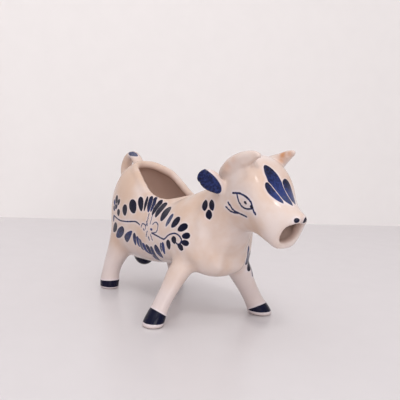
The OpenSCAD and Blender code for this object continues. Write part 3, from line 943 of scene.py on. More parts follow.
class Brushwork:
    """Works out how far each point of the surface lies from the edge of the painted strokes.

    FAR stands for no stroke nearby. A dipped piece is painted where it stands out of the skin by
    more than BARE_EDGE. Sight lines are followed from NEAREST to FURTHEST in steps of ALONG.
    STRETCH limits how much a petal widens where the form turns away, SLIT is the bare line
    between two petals, FULLNESS makes up for their blurred edges, HOOF_TOP and HOOF_ROOM bound
    the bands, and a petal paints up to REACH above and below its own plane.
    """

    FAR = 9.0
    BARE_EDGE = 0.5
    DIPPED = (Piece.UDDER,)
    NEAREST, FURTHEST, ALONG, SETTLING = 180.0, 420.0, 0.5, 6
    STRETCH = 2.4
    SLIT = 0.32
    FULLNESS = 1.14
    HOOF_TOP, HOOF_ROOM = 15.0, 2.0
    REACH = 3.5
    LINE_STEPS, FOLD_STEPS, FOLD_ROOM = 14, 10, 2.5

    def __init__(self, jug: Jug, studio: "Studio") -> None:
        """Lays every stroke on the form, where the photograph has it."""
        self.jug, self.studio = jug, studio
        self.patches: list[tuple[bool, tuple, Petal]] = []
        self.trails: list[tuple[bool, Array, Line]] = []
        one_sided = FOREHEAD + CHEST + TAIL_SPOT
        for strokes, both_sides in ((WREATH + FACE, True), (one_sided, False)):
            for stroke in strokes:
                if isinstance(stroke, Petal):
                    self.patches.append((both_sides, self.patch(stroke), stroke))
                else:
                    fine = smooth_curve(stroke.points, self.LINE_STEPS * len(stroke.points))
                    self.trails.append((both_sides, self.hit(fine), stroke))
        self.legs = {limb.piece: limb for limb in jug.parts if isinstance(limb, Leg)}

    def hit(self, pixels: Array) -> Array:
        """Where the form is first met behind each pixel, or its nearest place where none is."""
        rays, form = self.studio.rays(pixels), self.jug.form
        deep = np.arange(self.NEAREST, self.FURTHEST, self.ALONG)
        trail = np.array(self.studio.place) + rays[:, None, :] * deep[None, :, None]
        values = self.jug.lattice.sample(form, trail.reshape(-1, 3)).reshape(len(rays), -1)
        first, nearest = np.argmax(values < 0, axis=1), np.argmin(values, axis=1)
        met = np.where(np.any(values < 0, axis=1), first, nearest)
        return self.jug.settled(form, trail[np.arange(len(rays)), met], self.SETTLING, 1.0)

    def patch(self, petal: Petal) -> tuple[Array, Array, Array, Array]:
        """The petal's tip on the form, its way to the root and to the side, and the normal."""
        tip, root = np.array(petal.tip), np.array(petal.root)
        way = unit(root - tip)
        side = np.array((-way[1], way[0])) * petal.half_width * self.FULLNESS
        middle = (tip + root) / 2
        places = np.stack((tip, root, middle, middle + side, middle - side))
        first, last, centre, beside, across = self.hit(places)
        normal = self.jug.slope(self.jug.form, centre[None, :])[0]
        along, wide = last - first, (beside - across) / 2
        along = along - normal * np.dot(along, normal)
        wide = wide - normal * np.dot(wide, normal)
        wide = wide - along * np.dot(wide, along) / np.dot(along, along)
        pixel = np.linalg.norm(centre - np.array(self.studio.place)) / self.studio.focal_px
        limit = self.STRETCH * petal.half_width * pixel
        wide = wide * min(1.0, limit / np.linalg.norm(wide))
        first = first - along * (petal.grown - 1) / 2
        return first, along * petal.grown, wide * petal.grown, normal

    @staticmethod
    def petal_gap(points: Array, patch: tuple, petal: Petal) -> tuple[Array, Array]:
        """Signed distance to a petal's edge, and how far along the petal each point lies."""
        first, along, wide, normal = patch
        offset = points - first
        length, width = np.linalg.norm(along), np.linalg.norm(wide)
        share = offset @ along / length**2
        beside = np.abs(offset @ wide) / width
        t = np.clip(share, 0, 1)
        full = width * np.sin(np.pi * t**petal.round_tip) ** petal.plump
        beyond = (share - t) * length
        gap = np.where(beyond == 0, beside - full, np.hypot(beside, beyond))
        return np.where(np.abs(offset @ normal) < Brushwork.REACH, gap, Brushwork.FAR), t

    def press(self) -> None:
        """Presses the soft folds into both sides: depth * exp(-(distance / spread)^2)."""
        jug = self.jug
        for fold in FOLDS:
            trail = self.hit(smooth_curve(fold.points, self.FOLD_STEPS * len(fold.points)))
            margin = self.FOLD_ROOM * fold.spread
            for path in (trail * MIRROR, trail):
                low, high = path.min(axis=0) - margin, path.max(axis=0) + margin
                slices, part = jug.lattice.window(low, high)
                away = part.square_gap(path) / np.float32(fold.spread**2)
                jug.form[slices] += np.float32(fold.depth) * np.exp(-away)

    def stained(self, points: Array) -> Array:
        """How rusty each point is: the most of strength * exp(-(distance / radius)^2)."""
        centres = self.hit(np.array([stain.place for stain in STAINS]))
        total = np.zeros(len(points))
        for centre, stain in zip(centres, STAINS):
            away = np.sum((points - centre) ** 2, axis=1)
            total = np.maximum(total, stain.strength * np.exp(-away / stain.radius**2))
        return total

    def at(self, points: Array, lines_only: bool = False) -> tuple[Array, Array]:
        """How the brushwork lies round each point.

        Args:
            points: places on the surface.
            lines_only: whether petals and bands are left out.

        Returns:
            The signed distance to the nearest stroke's edge, negative on the stroke, and the
            stroke's tone.
        """
        gap, tone = np.full(len(points), self.FAR), np.zeros(len(points))
        second = gap.copy()
        mirrored = points * MIRROR
        depth = self.jug.lattice.sample(self.jug.skin_distance, points)
        outside = depth > -self.jug.sizes.wall / 2

        def lay(near: Array, values: Array, tones: Array) -> None:
            """Keeps the nearest stroke of the points looked at, and how far the next one is."""
            nearer = values < gap[near]
            second[near] = np.minimum(second[near], np.maximum(values, gap[near]))
            gap[near[nearer]], tone[near[nearer]] = values[nearer], tones[nearer]

        for both_sides, patch, petal in () if lines_only else self.patches:
            centre = patch[0] + patch[1] / 2
            reach = np.linalg.norm(patch[1]) / 2 + np.linalg.norm(patch[2]) + MARGIN
            for cloud in (points, mirrored) if both_sides else (points,):
                close = np.sum((cloud - centre) ** 2, axis=1) < reach**2
                near = np.nonzero(outside & close)[0]
                values, t = self.petal_gap(cloud[near], patch, petal)
                lay(near, values, petal.tone.value + petal.fading * (0.5 - t))
        gap = np.maximum(gap, self.SLIT - (second - gap))
        for both_sides, trail, line in self.trails:
            low, high = trail.min(axis=0) - MARGIN, trail.max(axis=0) + MARGIN
            for cloud in (points, mirrored) if both_sides else (points,):
                near = np.nonzero(outside & np.all((cloud > low) & (cloud < high), axis=1))[0]
                step = np.linalg.norm(cloud[near][:, None, :] - trail[None, :, :], axis=2)
                values = step.min(axis=1) - line.half_width
                lay(near, values, np.full(len(near), line.tone.value))
        if not lines_only:
            self.bands(points, lay)
        return gap, tone

    def bands(self, points: Array, lay: Callable[[Array, Array, Array], None]) -> None:
        """Lays the band round each hoof; the hidden hoof gets its neighbour's, mirrored.

        Args:
            points: places on the surface.
            lay: takes the numbers of some points, their distances to a band and its tones.
        """
        for band in BANDS:
            leg, clouds = self.legs[band.piece], [points]
            edge = self.hit(np.array(band.edge))
            plane = np.linalg.solve(np.column_stack((edge[:, :2], np.ones(3))), edge[:, 2])
            if band.piece is Piece.REAR_RIGHT_LEG:
                hidden = self.legs[Piece.REAR_LEFT_LEG]
                shift = np.array((hidden.hoof_x - leg.hoof_x, hidden.hoof_y - leg.hoof_y, 0))
                clouds.append((points - shift) * MIRROR)
            for cloud in clouds:
                away = np.hypot(cloud[:, 0] - leg.hoof_x, cloud[:, 1] - leg.side * leg.hoof_y)
                close = (away < self.HOOF_ROOM * leg.hoof_d) & (cloud[:, 2] < self.HOOF_TOP)
                near = np.nonzero(close)[0]
                height = cloud[near][:, 2]
                top = cloud[near][:, :2] @ plane[:2] + plane[2]
                values = np.maximum(height - top, band.rim - height)
                lay(near, values, np.full(len(near), band.tone.value))


class Surface:
    """A closed surface of triangles that is cut into named pieces."""

    FIRST_SPLIT, SECOND_SPLIT = 0.6, 0.4
    SETTLING, PACE = 3, 0.9
    TOUCH = 1e-6

    def __init__(self, jug: Jug, brushwork: Brushwork) -> None:
        """Finds the surface of the jug's form, paints it and cuts it along the luting seams."""
        self.jug = jug
        self.points, quads = self.net(jug.form, jug.lattice)
        self.settle()
        self.faces = np.concatenate((quads[:, (0, 1, 2)], quads[:, (0, 2, 3)]))
        self.refine(brushwork.at(self.points)[0], self.FIRST_SPLIT)
        gap, _ = brushwork.at(self.points, lines_only=True)
        on_head = self.past_neck() > 0
        gap[on_head] = brushwork.at(self.points[on_head])[0]
        self.refine(gap, self.SECOND_SPLIT)
        self.owner = np.zeros(len(self.faces), int)
        self.names = [Piece.BODY, Piece.HEAD] + [limb.piece for limb in jug.parts]
        self.cut(-self.past_neck(), Piece.HEAD)
        for limb in jug.parts:
            part, seam = jug.seams[limb.piece]
            values = part.sample(seam, self.points)
            low, high = part.low + part.step, part.low + part.step * (np.array(part.counts) - 2)
            far = np.any((self.points < low) | (self.points > high), axis=1)
            depth = jug.lattice.sample(jug.skin_distance, self.points)
            inside = depth < -jug.sizes.wall / 2
            self.cut(np.where(far | inside, OUTSIDE, values), limb.piece)
        self.normals = jug.slope(jug.form, self.points)
        self.gap, self.tone = brushwork.at(self.points)
        self.stain = brushwork.stained(self.points)

    def past_neck(self) -> Array:
        """How far each point lies ahead of the plane of the neck seam."""
        return self.jug.skin.plane_distance(Skin.NECK, self.points[:, 0], self.points[:, 2])

    @staticmethod
    def net(form: Array, lattice: Lattice) -> tuple[Array, Array]:
        """Surface net: one point in each lattice cell that the surface crosses.

        The point is the mean of the places where the surface crosses the cell's edges, and each
        crossed edge gives the quad of the four cells round it.

        Args:
            form: distance on the lattice, negative inside.
            lattice: the lattice.

        Returns:
            The points and the quads, with their faces outwards.
        """
        counts = np.array(form.shape)
        cells, places, signs = [], [], []
        for axis in range(3):
            head = tuple(slice(0, -1) if k == axis else slice(None) for k in range(3))
            tail = tuple(slice(1, None) if k == axis else slice(None) for k in range(3))
            a, b = form[head], form[tail]
            at = np.stack(np.nonzero((a < 0) != (b < 0)), axis=-1)
            others = [k for k in range(3) if k != axis]
            at = at[np.all((at[:, others] > 0) & (at[:, others] < counts[others] - 1), axis=1)]
            first, second = a[tuple(at.T)], b[tuple(at.T)]
            place = at.astype(float)
            place[:, axis] += first / (first - second)
            shifts = np.zeros((4, 3), int)
            shifts[:, (axis + 1) % 3] = (0, -1, -1, 0)
            shifts[:, (axis + 2) % 3] = (0, 0, -1, -1)
            corner = (at[:, None, :] + shifts[None, :, :]).reshape(-1, 3)
            cells.append(np.ravel_multi_index(tuple(corner.T), form.shape).reshape(-1, 4))
            places.append(place)
            signs.append(first < 0)
        cells, places, signs = (np.concatenate(rows) for rows in (cells, places, signs))
        unique, index = np.unique(cells, return_inverse=True)
        index = index.reshape(cells.shape)
        flat, count = index.ravel(), len(unique)
        sums = [np.bincount(flat, np.repeat(places[:, k], 4), count) for k in range(3)]
        points = np.stack(sums, axis=-1) / np.bincount(flat, minlength=count)[:, None]
        quads = np.where(signs[:, None], index, index[:, ::-1])
        return points * lattice.step + lattice.low, quads

    def refine(self, gap: Array, share: float) -> None:
        """Splits the triangles near the strokes' edges in four, and their neighbours to fit.

        A triangle with all three edges split becomes four. One with a single split edge becomes
        two, and one with two becomes three, so that no point is left on an undivided edge.

        Args:
            gap: each point's signed distance to the nearest stroke's edge.
            share: how near is near, as a share of the lattice's step.
        """
        faces = self.faces
        marked = np.any(np.abs(gap)[faces] < self.jug.lattice.step * share, axis=1)
        sides = np.stack((faces, np.roll(faces, -1, axis=1)), axis=-1)
        sides = np.sort(sides.reshape(-1, 2), axis=1)
        unique, index = np.unique(sides, axis=0, return_inverse=True)
        index = index.reshape(-1, 3)
        split = np.zeros(len(unique), bool)
        split[index[marked]] = True
        number = np.where(split, len(self.points) + np.cumsum(split) - 1, -1)
        self.points = np.concatenate((self.points, self.points[unique[split]].mean(axis=1)))
        middle = number[index]
        count = (middle >= 0).sum(axis=1)
        kept = [faces[count == 0]]
        a, b, c = faces[count == 3].T
        ab, bc, ca = middle[count == 3].T
        kept += [np.stack(t, 1) for t in ((a, ab, ca), (ab, b, bc), (ca, bc, c), (ab, bc, ca))]
        for one, where in ((1, middle >= 0), (2, middle < 0)):
            turn = np.argmax(where[count == one], axis=1)
            a, b, c = from_corner(faces[count == one], turn).T
            ab, bc, ca = from_corner(middle[count == one], turn).T
            two, three = ((a, ab, c), (ab, b, c)), ((a, b, bc), (a, bc, ca), (ca, bc, c))
            kept += [np.stack(t, 1) for t in (two if one == 1 else three)]
        self.faces = np.concatenate(kept)
        self.settle()

    def settle(self) -> None:
        """Moves each point along the slope until it lies on the surface."""
        reach = self.jug.lattice.step / 2
        self.points = self.jug.settled(self.jug.form, self.points, self.SETTLING, reach, self.PACE)

    def cut(self, level: Array, piece: Piece) -> None:
        """Cuts the triangles where a level crosses zero and gives the part below zero to a piece.

        Args:
            level: one number for each point, negative on the piece's side.
            piece: who gets that side.
        """
        owner = self.names.index(piece)
        level = np.where(np.abs(level) < self.TOUCH, self.TOUCH, level)
        below = (level < 0)[self.faces]
        count = below.sum(axis=1)
        mixed = (count > 0) & (count < 3)
        self.owner[count == 3] = owner
        faces, marks = self.faces[mixed], below[mixed]
        single = marks.sum(axis=1) == 1
        alone = np.where(single, np.argmax(marks, axis=1), np.argmin(marks, axis=1))
        a, b, c = from_corner(faces, alone).T
        edges = np.sort(np.concatenate((np.stack((a, b), 1), np.stack((a, c), 1))), axis=1)
        unique, index = np.unique(edges, axis=0, return_inverse=True)
        index = index.ravel()
        first, second = level[unique[:, 0]], level[unique[:, 1]]
        share = (first / (first - second))[:, None]
        new = self.points[unique[:, 0]] * (1 - share) + self.points[unique[:, 1]] * share
        p = len(self.points) + index[:len(a)]
        q = len(self.points) + index[len(a):]
        alone_below = level[a] < 0
        old = self.owner[mixed]
        corner = np.stack((a, p, q), 1)
        rest = np.concatenate((np.stack((p, b, c), 1), np.stack((p, c, q), 1)))
        corner_owner = np.where(alone_below, owner, old)
        rest_owner = np.where(alone_below, old, owner)
        self.points = np.concatenate((self.points, new))
        self.faces = np.concatenate((self.faces[~mixed], corner, rest))
        self.owner = np.concatenate((self.owner[~mixed], corner_owner, rest_owner, rest_owner))

    def piece(self, name: Piece) -> tuple[Array, Array]:
        """One piece's skin, still open at its seams.

        Returns:
            The numbers of its points, and its triangles by their place among these.
        """
        own = self.owner == self.names.index(name)
        used, index = np.unique(self.faces[own], return_inverse=True)
        return used, index.reshape(-1, 3)


def loops_of(faces: Array) -> list[Array]:
    """The open edges of a surface, as closed loops of point numbers in the order that faces run.

    Args:
        faces: triangles of point numbers.

    Returns:
        One array of point numbers for each loop.
    """
    edges = np.concatenate((faces[:, (0, 1)], faces[:, (1, 2)], faces[:, (2, 0)]))
    size = int(edges.max()) + 1
    forward = edges[:, 0].astype(np.int64) * size + edges[:, 1]
    backward = edges[:, 1].astype(np.int64) * size + edges[:, 0]
    open_edges = edges[~np.isin(forward, backward)]
    follow = dict(zip(open_edges[:, 0].tolist(), open_edges[:, 1].tolist()))
    loops = []
    while follow:
        start, now = next(iter(follow.items()))
        loop = [start]
        del follow[start]
        while now != start and now in follow:
            loop.append(now)
            now = follow.pop(now)
        if len(loop) > 2:
            loops.append(np.array(loop))
    return loops


class Seam:
    """Closes a piece face to face with its neighbour."""

    RINGS = 5
    SETTLING, REACH = 3, 1.2

    def __init__(self, jug: Jug) -> None:
        """Keeps the skin that the caps of the limbs follow."""
        self.jug = jug

    def cap(self, points: Array, loop: Array) -> tuple[Array, Array]:
        """A cap inside one loop: rings that shrink to the middle and lie on the outer form.

        Args:
            points: the piece's points.
            loop: the loop's point numbers.

        Returns:
            New points, and triangles that number them after the piece's own points.
        """
        edge = points[loop]
        middle = edge.mean(axis=0)
        shares = np.arange(self.RINGS, 0, -1)[1:] / self.RINGS
        inner = middle + (edge[None, :, :] - middle) * shares[:, None, None]
        fill = np.concatenate((inner.reshape(-1, 3), middle[None, :]))
        fill = self.jug.settled(self.jug.skin_distance, fill, self.SETTLING, self.REACH)
        count, start = len(loop), len(points)
        rings = [loop] + [start + k * count + np.arange(count) for k in range(self.RINGS - 1)]
        centre = start + (self.RINGS - 1) * count
        faces = []
        for outer, nearer in zip(rings[:-1], rings[1:]):
            after, after_in = np.roll(outer, -1), np.roll(nearer, -1)
            faces += [np.stack((after, outer, nearer), 1), np.stack((after, nearer, after_in), 1)]
        last = rings[-1]
        faces.append(np.stack((np.roll(last, -1), last, np.full(count, centre)), 1))
        return fill, np.concatenate(faces)

    def ring(self, points: Array, outer: Array, inner: Array, middle: Array) -> Array:
        """The flat ring between the outer and the inner edge of the wall at the neck.

        Both edges are put in the order of their angle round the middle. Going round, each point of
        either edge adds one triangle to the last point passed on the other.

        Args:
            points: the piece's points.
            outer: the outer loop's point numbers.
            inner: the inner loop's point numbers.
            middle: the middle of the neck.

        Returns:
            Triangles that close the wall.
        """
        normal = unit(np.cross(points[outer[0]] - middle, points[outer[len(outer) // 4]] - middle))
        first = unit(points[outer[0]] - middle)
        second = np.cross(normal, first)

        def turned(loop: Array) -> tuple[Array, Array]:
            """The loop's points from the smallest angle on, and their angles, which only grow."""
            way = points[loop] - middle
            angle = np.mod(np.arctan2(way @ second, way @ first), 2 * np.pi)
            order = np.roll(np.arange(len(loop)), -int(np.argmin(angle)))
            if np.sum(np.diff(angle[order]) > 0) < len(loop) / 2:
                order = np.roll(order[::-1], 1)
            return loop[order], np.maximum.accumulate(angle[order])

        out, out_angle = turned(outer)
        into, in_angle = turned(inner)
        kind = np.concatenate((np.zeros(len(out), int), np.ones(len(into), int)))
        order = np.argsort(np.concatenate((out_angle, in_angle)), kind="stable")
        kind = kind[order]
        a = np.cumsum(kind == 0)
        b = np.cumsum(kind == 1)
        third = np.where(kind == 0, out[(a - 1) % len(out)], into[(b - 1) % len(into)])
        before_out = out[(a - 1 - (kind == 0)) % len(out)]
        before_in = into[(b - 1 - (kind == 1)) % len(into)]
        return np.stack((before_out, before_in, third), 1)


class Wire:
    """An output of a shader node, with Python's arithmetic on it."""

    def __init__(self, graph: "Graph", socket: Any) -> None:
        """Wraps one socket of a graph."""
        self.graph, self.socket = graph, socket

    def _with(self, operation: str, *values: Any) -> "Wire":
        """One Math node on the given values."""
        return self.graph.node("ShaderNodeMath", {"operation": operation}, *values)

    def __add__(self, other: Any) -> "Wire":
        """Sum."""
        return self._with("ADD", self, other)

    __radd__ = __add__

    def __sub__(self, other: Any) -> "Wire":
        """Difference."""
        return self._with("SUBTRACT", self, other)

    def __rsub__(self, other: Any) -> "Wire":
        """Difference from a number."""
        return self._with("SUBTRACT", other, self)

    def __mul__(self, other: Any) -> "Wire":
        """Product."""
        return self._with("MULTIPLY", self, other)

    __rmul__ = __mul__

    def swing(self, reach: float) -> "Wire":
        """A noise that swings round 0 instead of 0.5, times a number."""
        return (self - 0.5) * reach

    def fade(self, start: float, end: float) -> "Wire":
        """0 up to start, 1 from end on, with a smooth step between."""
        return self.graph.node("ShaderNodeMapRange", {"interpolation_type": "SMOOTHSTEP"},
                               self, start, end, 0.0, 1.0)


class Graph:
    """The nodes of one material."""

    NOISE_ROUGHNESS = 0.55
    COLOUR_MIX, COLOUR_MIXED = (0, 6, 7), 2

    def __init__(self, name: str) -> None:
        """Starts a material with one Principled shader."""
        self.material = bpy.data.materials.new(name)
        self.material.use_nodes = True
        self.tree = self.material.node_tree
        self.shader = self.tree.nodes["Principled BSDF"]

    def node(self, kind: str, settings: dict[str, Any] | None, *values: Any,
             output: int | str = 0) -> Wire:
        """Any node: its settings are set first, then the values or links of its inputs in order.

        Args:
            kind: the node's type.
            settings: attributes to set before the inputs.
            values: a wire, a number, a colour or None for each input.
            output: which output is wanted.

        Returns:
            The output as a wire.
        """
        made = self.tree.nodes.new(kind)
        for key, value in (settings or {}).items():
            setattr(made, key, value)
        for socket, value in zip([s for s in made.inputs if s.enabled], values):
            self.feed(socket, value)
        return Wire(self, made.outputs[output])

    def feed(self, socket: Any, value: Any) -> None:
        """Links a wire to a socket, or sets a plain value on it."""
        if value is None:
            return
        if isinstance(value, Wire):
            self.tree.links.new(value.socket, socket)
        else:
            socket.default_value = value

    def mix(self, share: Any, a: Any, b: Any) -> Wire:
        """Colour a where share is 0, colour b where it is 1."""
        made = self.tree.nodes.new("ShaderNodeMix")
        made.data_type = "RGBA"
        for number, value in zip(self.COLOUR_MIX, (share, a, b)):
            self.feed(made.inputs[number], value)
        return Wire(self, made.outputs[self.COLOUR_MIXED])

    def attribute(self, name: str) -> Wire:
        """A number that each point of the mesh carries."""
        return self.node("ShaderNodeAttribute", {"attribute_name": name}, output="Fac")

    def noise(self, scale: float, detail: float) -> Wire:
        """Noise on the piece's own coordinates, about 0.5 in the middle."""
        place = self.node("ShaderNodeTexCoord", None, output="Object")
        return self.node("ShaderNodeTexNoise", None, place, scale, detail, self.NOISE_ROUGHNESS)

    def shine(self, **values: Any) -> None:
        """Sets the shader's own sockets by name, with underscores for spaces."""
        for key, value in values.items():
            self.feed(self.shader.inputs[key.replace("_", " ")], value)


def colour(r: float, g: float, b: float) -> tuple[float, float, float, float]:
    """A colour picked on screen, from 0 to 255, as the linear value of the sRGB curve."""
    share = np.array((r, g, b)) / 255
    linear = np.where(share <= 0.04045, share / 12.92, ((share + 0.055) / 1.055) ** 2.4)
    return (*(float(v) for v in linear), 1.0)


@dataclass(frozen=True)
class Glaze:
    """Clear glossy glaze over a warm cream body, with cobalt brushed on under it."""

    name: str = "brushed_cobalt_glaze"
    cream: tuple = colour(216, 202, 197)
    blush: tuple = colour(206, 179, 161)
    halo: tuple = colour(222, 216, 228)
    # painted warm bounce light on the inner walls and in the mouth's bore
    painted_warm_bounce: tuple = colour(214, 186, 173)
    # painted shade: a cooler, darker tint that grows towards the table
    painted_low_shade: tuple = colour(206, 192, 190)
    navy: tuple = colour(8, 10, 36)
    cobalt: tuple = colour(40, 54, 110)
    rust: tuple = colour(196, 142, 104)
    slate: tuple = colour(62, 68, 96)
    wash: tuple = colour(102, 104, 124)
    broad_scale: float = 38.0
    cloud_scale: float = 95.0
    ripple_scale: float = 160.0
    fine_scale: float = 420.0
    streak_scale: float = 900.0
    warm_place: float = 0.42
    warm_broad: float = 1.5
    warm_cloud: float = 1.3
    warm_least: float = 0.2
    rust_least: float = 0.4
    rust_cloud: float = 0.9
    tint_share: float = 0.8
    edge_wander: float = 0.35
    streaks: float = 0.5
    pools: float = 0.3
    pits: float = 0.1
    loads: tuple = ((0.0, 0.35), (0.3, 0.6), (0.55, 1.0))
    ink_edge: tuple = (-0.14, 0.16)
    halo_edge: tuple = (0.1, 1.5)
    halo_share: float = 0.36
    roughness: float = 0.16
    gloss_change: float = 0.1
    index: float = 1.28
    bump: tuple = (0.12, 0.0006)

    def material(self) -> bpy.types.Material:
        """Builds the finish; the brushwork comes from the gap and tone that each point carries."""
        g = Graph(self.name)
        broad, fine = g.noise(self.broad_scale, 2.0), g.noise(self.fine_scale, 3.0)
        cloud = g.noise(self.cloud_scale, 3.0)
        warm = g.attribute("warmth") * self.warm_place + broad.swing(self.warm_broad)
        warm = warm + cloud.swing(self.warm_cloud) + self.warm_least
        body = g.mix(warm.fade(0.0, 1.0), self.cream, self.blush)
        # painted shade towards the table, and painted warm bounce light on the inner walls
        for place, tint in (("low", self.painted_low_shade), ("inside", self.painted_warm_bounce)):
            body = g.mix(g.attribute(place) * self.tint_share, body, tint)
        body = g.mix(g.attribute("stain") * (self.rust_least + cloud * self.rust_cloud), body,
                     self.rust)
        gap = g.attribute("ink_gap") + fine.swing(self.edge_wander)
        tone = g.attribute("ink_tone")
        ink = 1.0 - gap.fade(*self.ink_edge)
        halo = (1.0 - gap.fade(*self.halo_edge)) * self.halo_share
        streak = g.noise(self.streak_scale, 2.0)
        load = (tone + streak.swing(self.streaks) + broad.swing(self.pools)).fade(0.0, 1.0)
        brushed = self.wash
        for stop, pigment in zip(self.loads, (self.slate, self.cobalt, self.navy)):
            brushed = g.mix(load.fade(*stop), brushed, pigment)
        body = g.mix(halo, body, self.halo)
        body = g.mix(ink, body, brushed)
        ripple = g.noise(self.ripple_scale, 2.0)
        height = ripple + fine * self.pits + broad
        relief = g.node("ShaderNodeBump", None, *self.bump, None, height)
        roughness = self.roughness + ripple.swing(self.gloss_change)
        g.shine(Base_Color=body, Roughness=roughness, Normal=relief, IOR=self.index)
        return g.material


@dataclass(frozen=True)
class Lamp:
    """A square soft lamp in metres and watts."""

    name: str
    place: tuple[float, float, float]
    size: float
    watts: float
    tint: tuple[float, float, float]


LAMPS = (
    Lamp("window", (0.45, -0.3, 1.3), 1.8, 5.8, (1.0, 0.98, 0.96)),
    Lamp("doorway", (1.0, -0.45, 0.3), 0.6, 3.9, (1.0, 0.97, 0.95)),
    Lamp("skylight", (0.66, -0.5, 1.1), 0.2, 3.4, (1.0, 0.99, 0.98)),
)


def link(made: bpy.types.Object) -> bpy.types.Object:
    """Puts a new object in the scene."""
    bpy.context.scene.collection.objects.link(made)
    return made


def turned(right: Array, up: Array, back: Array, place: Any) -> Matrix:
    """The matrix of an object that looks away from its back, at a place in metres."""
    turn = Matrix([list(row) for row in np.stack((right, up, back), axis=1)]).to_4x4()
    turn.translation = place
    return turn


@dataclass(frozen=True)
class Studio:
    """Floor, backdrop, lamps and the camera at the photograph's place."""

    frame_px: float = 400.0
    focal_px: float = 579.24
    sensor: float = 36.0
    clip: tuple = (0.005, 20.0)
    place: tuple = (241.837, -179.367, 91.998)
    forward: tuple = (-0.79362, 0.59852, -0.10928)
    right: tuple = (0.59551, 0.80095, 0.06207)
    table_edge: tuple = ((12.0, 217.5), (386.0, 226.0))
    spread: float = 1.6
    table_finish: tuple = (colour(212, 208, 210), 0.32)
    wall_finish: tuple = (colour(236, 232, 231), 0.6)
    mottle_range: tuple[float, float] = (0.2, 0.8)
    mottling: float = 0.985
    grain_scale: float = 60.0
    grain_gloss: float = 0.06
    paper_index: float = 1.58
    sky: tuple = (-0.1, 0.95, 0.58, 1.0)
    sky_tint: tuple = colour(226, 224, 226)
    aim: tuple = (0, 0, 0.04)

    def ways(self) -> tuple[Array, Array, Array]:
        """Right, up and forward as unit vectors at right angles to each other."""
        forward = unit(np.array(self.forward))
        right = unit(np.array(self.right) - forward * np.dot(self.right, forward))
        return right, np.cross(right, forward), forward

    def rays(self, pixels: Array) -> Array:
        """The ways from the camera through pixels of the photograph, one unit deep."""
        right, up, forward = self.ways()
        offset = (pixels - self.frame_px / 2) / self.focal_px
        return forward + offset[:, :1] * right - offset[:, 1:] * up

    def camera(self) -> None:
        """Sets up the camera that matches the photograph."""
        data = bpy.data.cameras.new("photo_view")
        data.sensor_width = self.sensor
        data.lens = self.focal_px / self.frame_px * self.sensor
        data.clip_start, data.clip_end = self.clip
        camera = link(bpy.data.objects.new("photo_view", data))
        right, up, forward = self.ways()
        camera.matrix_world = turned(right, up, -forward, [v * MM for v in self.place])
        bpy.context.scene.camera = camera

    def hang(self, lamp: Lamp) -> None:
        """Hangs a lamp so that it looks at the jug."""
        data = bpy.data.lights.new(lamp.name, "AREA")
        data.shape, data.size = "SQUARE", lamp.size
        data.energy, data.color = lamp.watts, lamp.tint
        back = unit(np.array(lamp.place, float) - np.array(self.aim, float))
        right = unit(np.cross((0, 0, 1), back))
        made = link(bpy.data.objects.new(lamp.name, data))
        made.matrix_world = turned(right, np.cross(back, right), back, lamp.place)

    def paper(self, name: str, corners: Array, finish: tuple) -> None:
        """One flat pale sheet of the backdrop, with its four corners in metres and its finish."""
        tint, roughness = finish
        mesh = bpy.data.meshes.new(name)
        mesh.from_pydata(corners.tolist(), [], [(0, 1, 2, 3)])
        g = Graph(name + "_finish")
        grain = g.noise(self.grain_scale, 2.0)
        faint = tuple(channel * self.mottling for channel in tint[:3]) + (1.0,)
        mottled = g.mix(grain.fade(*self.mottle_range), tint, faint)
        g.shine(Base_Color=mottled, IOR=self.paper_index)
        g.shine(Roughness=roughness + grain.swing(self.grain_gloss))
        mesh.materials.append(g.material)
        link(bpy.data.objects.new(name, mesh))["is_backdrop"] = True

    def sweep(self) -> None:
        """A pale satin table, and a wall beyond its far edge, which two pixels show."""
        rays = self.rays(np.array(self.table_edge))
        start = np.array(self.place)
        ends = (start - rays * start[2] / rays[:, 2:3]) * MM
        along = unit(ends[1] - ends[0])
        away = np.array((-along[1], along[0], 0))
        away = away * np.sign(np.dot(away, rays[0]))
        left, right = ends[0] - along * self.spread, ends[1] + along * self.spread
        up, near = np.array((0, 0, self.spread)), away * 2 * self.spread
        self.paper("table", np.stack((left - near, right - near, right, left)), self.table_finish)
        self.paper("wall", np.stack((left, right, right + up, left + up)), self.wall_finish)

    def light(self) -> None:
        """Soft daylight from above and behind the camera, with a pale room round it."""
        scene = bpy.context.scene
        scene.view_settings.view_transform = "Standard"
        world = bpy.data.worlds.new("pale_room")
        world.use_nodes = True
        nodes, links = world.node_tree.nodes, world.node_tree.links
        way, split, rise = (nodes.new("ShaderNode" + kind)
                            for kind in ("TexCoord", "SeparateXYZ", "MapRange"))
        for socket, value in zip(rise.inputs[1:5], self.sky):
            socket.default_value = value
        links.new(way.outputs["Generated"], split.inputs[0])
        links.new(split.outputs[2], rise.inputs[0])
        links.new(rise.outputs[0], nodes["Background"].inputs["Strength"])
        nodes["Background"].inputs["Color"].default_value = self.sky_tint
        scene.world = world
        for lamp in LAMPS:
            self.hang(lamp)


